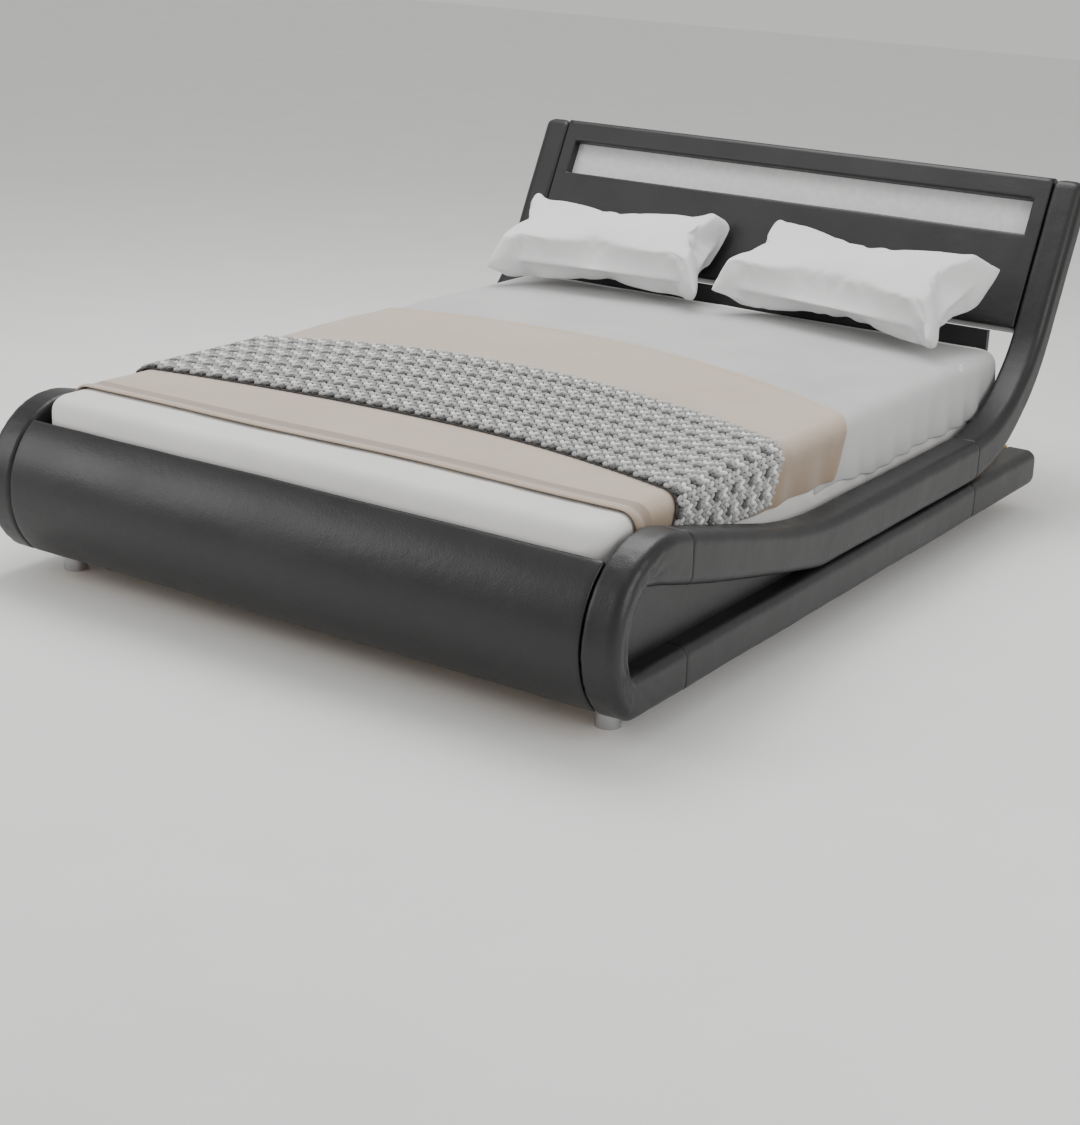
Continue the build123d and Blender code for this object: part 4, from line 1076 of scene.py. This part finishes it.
def stitch_points(laid, front_edge, back_edge):
    """The middle of each stitch, which way is up and across there, and how light it is."""
    columns = int(2 * laid.reach / STITCH)
    rows = int((laid.back - laid.front) / STITCH)
    s = np.linspace(-laid.reach + STITCH / 2, laid.reach - STITCH / 2, columns)[:, None].repeat(rows, axis=1)
    front, back = front_edge(s[:, :1]), back_edge(s[:, :1])
    share = (np.arange(rows) + 0.5) / rows
    u = front + (back - front) * share[None, :]
    hanging = ease(np.abs(s), laid.flat_half + laid.turn * 0.4, laid.reach)

    def place(s_here, u_here):
        return laid.place(s_here, u_here, knit_lift(s_here, u_here, hanging))

    middle = place(s, u)
    across = place(s + 2 * MM, u) - place(s - 2 * MM, u)
    along = place(s, u + 2 * MM) - place(s, u - 2 * MM)
    normal = np.cross(across, along)
    i, j = np.indices(s.shape)
    band = j % 4
    dark, light = np.where(i % 2 == 0, 0.05, 0.5), np.where(i % 2 == 0, 0.98, 0.4)
    shade = np.where(band == 0, dark, np.where(band == 2, light, 0.5))
    shade = np.where((band % 2 == 1) & (i % 2 == 1), 0.7, shade)
    return middle.reshape(-1, 3), normal.reshape(-1, 3), across.reshape(-1, 3), shade.ravel()


def carry(mesh, name, values):
    """Store one vector or number for each point of a mesh."""
    flat = np.asarray(values, np.float32)
    kind = "FLOAT_VECTOR" if flat.ndim == 2 else "FLOAT"
    field = "vector" if flat.ndim == 2 else "value"
    mesh.attributes.new(name, kind, "POINT").data.foreach_set(field, flat.ravel())


def stitch_tree(material):
    """A node tree that lays a pair of yarn strands on each point of a mesh."""
    tree = bpy.data.node_groups.new("knit_stitches", "GeometryNodeTree")
    wanted = [("Points", "NodeSocketGeometry", None), ("Stitch width", "NodeSocketFloat", STITCH),
              ("Stitch length", "NodeSocketFloat", STITCH), ("Yarn radius", "NodeSocketFloat", YARN)]
    for name, kind, size in wanted:
        socket = tree.interface.new_socket(name, in_out="INPUT", socket_type=kind)
        if size:
            socket.default_value = size
    tree.interface.new_socket("Stitches", in_out="OUTPUT", socket_type="NodeSocketGeometry")
    given = add(tree, "NodeGroupInput")
    strand = add(tree, "GeometryNodeMeshUVSphere", values={"Segments": 6, "Rings": 4, "Radius": 1.0})
    times = {"operation": "MULTIPLY"}
    half_long = add(tree, "ShaderNodeMath", times, {1: 0.62}, {0: (given, "Stitch length")})
    half_wide = add(tree, "ShaderNodeMath", times, {1: 0.27}, {0: (given, "Stitch width")})
    size = add(tree, "ShaderNodeCombineXYZ", {}, {},
               {0: (half_wide, 0), 1: (half_long, 0), 2: (given, "Yarn radius")})
    apart = add(tree, "ShaderNodeMath", times, {1: 0.25}, {0: (given, "Stitch width")})
    pair = add(tree, "GeometryNodeJoinGeometry")
    for sign in (-1, 1):
        offset = add(tree, "ShaderNodeMath", {"operation": "MULTIPLY"}, {1: sign}, {0: (apart, 0)})
        shift = add(tree, "ShaderNodeCombineXYZ", links={0: (offset, 0)})
        lean = add(tree, "GeometryNodeTransform", values={"Rotation": (0, 0, sign * math.radians(-24))},
                   links={"Geometry": (strand, "Mesh"), "Scale": (size, 0), "Translation": (shift, 0)})
        wire(tree, lean, "Geometry", pair, "Geometry")
    up = add(tree, "GeometryNodeInputNamedAttribute", {"data_type": "FLOAT_VECTOR"}, {"Name": "up"})
    across = add(tree, "GeometryNodeInputNamedAttribute", {"data_type": "FLOAT_VECTOR"}, {"Name": "across"})
    stand = add(tree, "FunctionNodeAlignRotationToVector", {"axis": "Z"}, links={"Vector": (up, "Attribute")})
    face = add(tree, "FunctionNodeAlignRotationToVector", {"axis": "X", "pivot_axis": "Z"},
               links={"Rotation": (stand, 0), "Vector": (across, "Attribute")})
    spots = add(tree, "GeometryNodeMeshToPoints", links={"Mesh": (given, "Points")})
    laid = add(tree, "GeometryNodeInstanceOnPoints",
               links={"Points": (spots, 0), "Instance": (pair, 0), "Rotation": (face, 0)})
    real = add(tree, "GeometryNodeRealizeInstances", links={"Geometry": (laid, 0)})
    smooth = add(tree, "GeometryNodeSetShadeSmooth", links={"Geometry": (real, 0)})
    painted = add(tree, "GeometryNodeSetMaterial", {}, {"Material": material}, {"Geometry": (smooth, 0)})
    add(tree, "NodeGroupOutput", links={"Stitches": (painted, "Geometry")})
    return tree


def grown_by(tree, base, **inputs):
    """Run a node tree on a mesh object and keep the result as a plain mesh."""
    run = base.modifiers.new("grow", "NODES")
    run.node_group = tree
    for item in tree.interface.items_tree:
        key = item.name.replace(" ", "_")
        if item.item_type == "SOCKET" and item.in_out == "INPUT" and key in inputs:
            run[item.identifier] = inputs[key]
    return settled(base)


middles, ups, acrosses, shades = stitch_points(knit_at, knit_front_edge, knit_back_edge)
stitches = new_mesh("knit_throw_stitches", middles, [])
carry(stitches.data, "up", ups / np.linalg.norm(ups, axis=1)[:, None])
carry(stitches.data, "across", acrosses / np.linalg.norm(acrosses, axis=1)[:, None])
carry(stitches.data, "shade", shades)
stitches = grown_by(stitch_tree(WOOL), stitches, Stitch_width=STITCH, Stitch_length=STITCH, Yarn_radius=YARN)
thick(knit, 2.5 * MM, 0)
# Painted shade: the sheet under the stitches is dark grey to stand for the shadow deep between the strands.
KNIT_GAP_SHADE = start_material("knit_inside_shadow", "4c4c4d", 0.95)[0]
dress(knit, "mattress", "knit", KNIT_GAP_SHADE, "knit_throw")
dress(stitches, "mattress", "knit", None)

# %% [markdown]
# ## Pillows
# A pillow is a flat bag blown up by its filling: the seams pull in between the corners and the cloth
# puckers along them. That is what a cloth simulation does when a flat bag is given pressure, so each
# pillow starts as two flat sheets joined at the rim. The result is then leaned on the headboard, and
# flattened where it touches the bed and the panel.

# %% Blow up and place a pillow
SHEET_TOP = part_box("top_sheet")[1].z


def flat_bag(width, height, columns, rows):
    """Two layers of cloth joined at the rim, a little apart in the middle."""
    x, y = np.meshgrid(np.linspace(-1, 1, columns), np.linspace(-1, 1, rows), indexing="ij")
    rounding = 1 - 0.018 * (x**2 * y**2)
    crown = 0.018 * np.sqrt(np.maximum((1 - x**4) * (1 - y**4), 0)) + 0.0005
    top = np.stack([x * width / 2 * rounding, y * height / 2 * rounding, crown], axis=-1).reshape(-1, 3)
    rim = (np.abs(x) == 1) | (np.abs(y) == 1)
    index_below = np.where(rim.ravel(), np.arange(x.size), 0)
    inner = np.flatnonzero(~rim.ravel())
    index_below[inner] = x.size + np.arange(len(inner))
    below = top[inner] * np.array([1, 1, -1])
    top[rim.ravel(), 2] = 0
    upper = grid_faces(columns, rows)
    lower = [tuple(int(index_below[k]) for k in reversed(face)) for face in upper]
    flat = np.vstack([top, below])
    return flat, upper + lower, flat[:, :2].copy()


def blown_up(name, width, height, pressure, frames=20, cap=85 * MM):
    """A pillow's mesh after its filling has pushed the flat bag out."""
    points, faces, uvs = flat_bag(width, height, 66, 46)
    bag = new_mesh(name, points, faces, uvs)
    point_outward(bag)
    cloth = bag.modifiers.new("filling", "CLOTH")
    cloth.settings.quality = 6
    cloth.settings.mass = 0.25
    cloth.settings.tension_stiffness = cloth.settings.compression_stiffness = 18
    cloth.settings.shear_stiffness = 6
    cloth.settings.bending_stiffness = 0.35
    cloth.settings.use_pressure = True
    cloth.settings.uniform_pressure_force = pressure
    cloth.settings.effector_weights.gravity = 0
    cloth.point_cache.frame_start, cloth.point_cache.frame_end = 1, frames
    for step in range(1, frames + 1):
        bpy.context.scene.frame_set(step)
    bag = settled(bag)
    bpy.context.scene.frame_set(1)
    moved = points_and_normals(bag.data)[0] - points
    far = np.linalg.norm(moved, axis=1)
    moved *= np.minimum(1, cap / np.maximum(far, 1e-9))[:, None]
    bag.data.vertices.foreach_set("co", (points + moved).ravel())
    bag.data.update()
    size = points_and_normals(bag.data)[0]
    print(name, "blown up to", (size.max(0) - size.min(0)).round(3))
    return bag


def lean(bag, centre_x, front_u, heading, tilt, thickness, height):
    """Lean a flat pillow against the panel: turned by heading, sloping up by tilt."""
    points = points_and_normals(bag.data)[0]
    across, up_slope, out = points[:, 0], points[:, 1] + height / 2, points[:, 2]
    out = out * thickness / (out.max() - out.min())
    slope_angle = math.radians(tilt)
    y = up_slope * math.cos(slope_angle) - out * math.sin(slope_angle)
    z = up_slope * math.sin(slope_angle) + out * math.cos(slope_angle)
    turned = math.radians(heading)
    x = centre_x + across * math.cos(turned) - (y - height * 0.4) * math.sin(turned)
    u = front_u + across * math.sin(turned) + (y - height * 0.4) * math.cos(turned) + height * 0.4
    z = z + SHEET_TOP + thickness * 0.30
    floor_at = SHEET_TOP + 1.5 * MM
    pressed = 25 * MM * np.exp((z - floor_at - 25 * MM) / (60 * MM))
    z = floor_at + np.where(z < floor_at + 25 * MM, pressed, z - floor_at)
    room = TOP_FRONT - (TOP_EDGE - z) * lean_run / lean_rise - 8 * MM - u
    u = np.where(room < 30 * MM, u + room - 30 * MM * np.exp((room - 30 * MM) / (80 * MM)), u)
    bag.data.vertices.foreach_set("co", np.column_stack([x, u + FRONT_Y, z]).ravel())
    bag.data.update()
    return bag


def finish_pillow(name, body, node, material, sizes, place):
    width, height, pressure = sizes
    bag = lean(blown_up(name, width, height, pressure), *place, height)
    soft = bag.modifiers.new("rounding", "SUBSURF")
    soft.levels = soft.render_levels = 1
    dress(bag, body, "pillow_cotton", material, node)
    return bag


finish_pillow("left_pillow_case", "left_pillow", "left_pillow", PILLOW_COTTON,
              (0.76, 0.42, 5.0), (-0.415, 1.80, 8.0, 24.0, 0.15))
finish_pillow("right_pillow_case", "right_pillow", "right_pillow", PILLOW_COTTON,
              (0.84, 0.44, 5.0), (0.335, 1.80, -11.0, 24.0, 0.155))

# %% [markdown]
# ## Wood, metal and plastic parts
# The hard parts keep the shapes they were made with, and each gets the surface it really has: planed
# pine and plywood with grain along the board, black powder-coated and zinc-plated steel, brushed
# aluminium feet, a frosted acrylic window, and a black non-woven dust cover on the back.

# %% Materials of the hard parts
def wood(name, light, dark, grain_width, rings=2.5):
    """Sawn wood: long grain along X that wanders a little, with fine pores."""
    made, tree, shader = start_material(name, light, 0.62)
    place = (add(tree, "ShaderNodeTexCoord"), "Object")
    long_grain = add(tree, "ShaderNodeMapping", values={"Scale": (0.12, 1.0, 1.0)}, links={"Vector": place})
    grain = add(tree, "ShaderNodeTexNoise", {},
                {"Scale": 1 / grain_width, "Detail": 6.0, "Distortion": rings},
                {"Vector": (long_grain, "Vector")})
    ramp = add(tree, "ShaderNodeValToRGB", links={"Fac": (grain, "Fac")})
    ramp.color_ramp.elements[0].position, ramp.color_ramp.elements[1].position = 0.35, 0.68
    ramp.color_ramp.elements[0].color, ramp.color_ramp.elements[1].color = linear(dark), linear(light)
    wire(tree, ramp, "Color", shader, "Base Color")
    relief(tree, (grain, "Fac"), shader, 0.3 * MM, 0.4)
    return made


def speckled(name, first, second, roughness, grit, depth, **sockets):
    """A hard surface with a fine grit in its colour and its relief."""
    made, tree, shader = start_material(name, first, roughness, **sockets)
    place = (add(tree, "ShaderNodeTexCoord"), "Object")
    mottle(tree, place, grit * 6, first, second, shader)
    grains = add(tree, "ShaderNodeTexNoise", {}, {"Scale": 1 / grit, "Detail": 2.0}, {"Vector": place})
    relief(tree, (grains, "Fac"), shader, depth, 0.4)
    return made


def brushed(name, first, second, roughness, line_width):
    """Metal with fine turned lines round its upright sides."""
    made, tree, shader = start_material(name, first, roughness, Metallic=1.0)
    place = (add(tree, "ShaderNodeTexCoord"), "Object")
    lines = add(tree, "ShaderNodeMapping", values={"Scale": (0.04, 0.04, 1.0)}, links={"Vector": place})
    streaks = add(tree, "ShaderNodeTexNoise", values={"Scale": 1 / line_width, "Detail": 3.0},
                  links={"Vector": (lines, "Vector")})
    ramp = add(tree, "ShaderNodeValToRGB", links={"Fac": (streaks, "Fac")})
    ramp.color_ramp.elements[0].color, ramp.color_ramp.elements[1].color = linear(first), linear(second)
    wire(tree, ramp, "Color", shader, "Base Color")
    relief(tree, (streaks, "Fac"), shader, 0.1 * MM, 0.5)
    return made


finishes = {
    "black_faux_leather": LEATHER,
    "plywood": wood("birch_plywood", "c9a878", "a9855a", 14 * MM),
    "pine": wood("planed_pine", "d8b684", "b88d5b", 22 * MM, 1.5),
    "black_steel": speckled("black_powder_coat", "1b1b1c", "242425", 0.45, 2 * MM, 0.15 * MM),
    "zinc_steel": speckled("zinc_plated_steel", "a9abad", "c3c5c6", 0.35, 4 * MM, 0.1 * MM, Metallic=1.0),
    "silver_metal": brushed("brushed_aluminium", "a8a9ab", "c6c7c8", 0.38, 1.2 * MM),
    "frosted_acrylic": speckled("frosted_acrylic", "c9c9c9", "bfbfc0", 0.5, 3 * MM, 0.1 * MM,
                                Transmission_Weight=0.0),
    "led_tape": speckled("led_tape", "f0efe6", "dad9cf", 0.5, 3 * MM, 0.1 * MM),
    "black_plastic": speckled("moulded_black_plastic", "191919", "202020", 0.5, 2 * MM, 0.1 * MM),
    "dust_cover": speckled("non_woven_dust_cover", "151515", "202021", 0.95, 3 * MM, 0.4 * MM),
    "webbing": speckled("cotton_webbing", "cbc9c1", "b9b7ae", 0.9, 2 * MM, 0.3 * MM),
}
print(len(finishes), "finishes for hard parts")

# %% Give every shown CAD node its finish
slot_words = {
    "black_faux_leather": ("side_board", "headboard_lower_board"),
    "plywood": ("core", "ribs", "front_board", "slats"),
    "pine": ("side_frame", "rail", "posts", "ledger", "corner_blocks"),
    "black_steel": ("centre_beam", "centre_leg"),
    "zinc_steel": ("joint_plates", "joint_bolts"),
    "silver_metal": ("front_left_foot", "front_right_foot", "rear_left_foot", "rear_right_foot"),
    "frosted_acrylic": ("light_diffuser",),
    "led_tape": ("led_strip",),
    "black_plastic": ("power_inlet", "levelling_foot"),
    "dust_cover": ("back_panel",),
    "webbing": ("slat_straps",),
}
dressed = 0
for node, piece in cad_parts.items():
    if piece.hide_render:
        continue
    fitting = [slot for slot, words in slot_words.items() if any(word in node for word in words)]
    piece.data.materials.clear()
    piece.data.materials.append(finishes[fitting[0]])
    dressed += 1
print(dressed, "hard parts dressed")

floor.data.materials.append(speckled("pale_floor", "efefee", "f2f2f1", 0.7, 40 * MM, 0.1 * MM))

# %% [markdown]
# ## The frame's box
# The dressed bed is meant to fill the same room as the plain one, give or take the softness of its cloth;
# only the plain frame's box is printed here.

# %% Print the frame's box
print("cad", [round(v, 3) for v in (*cad_low, *cad_high)])
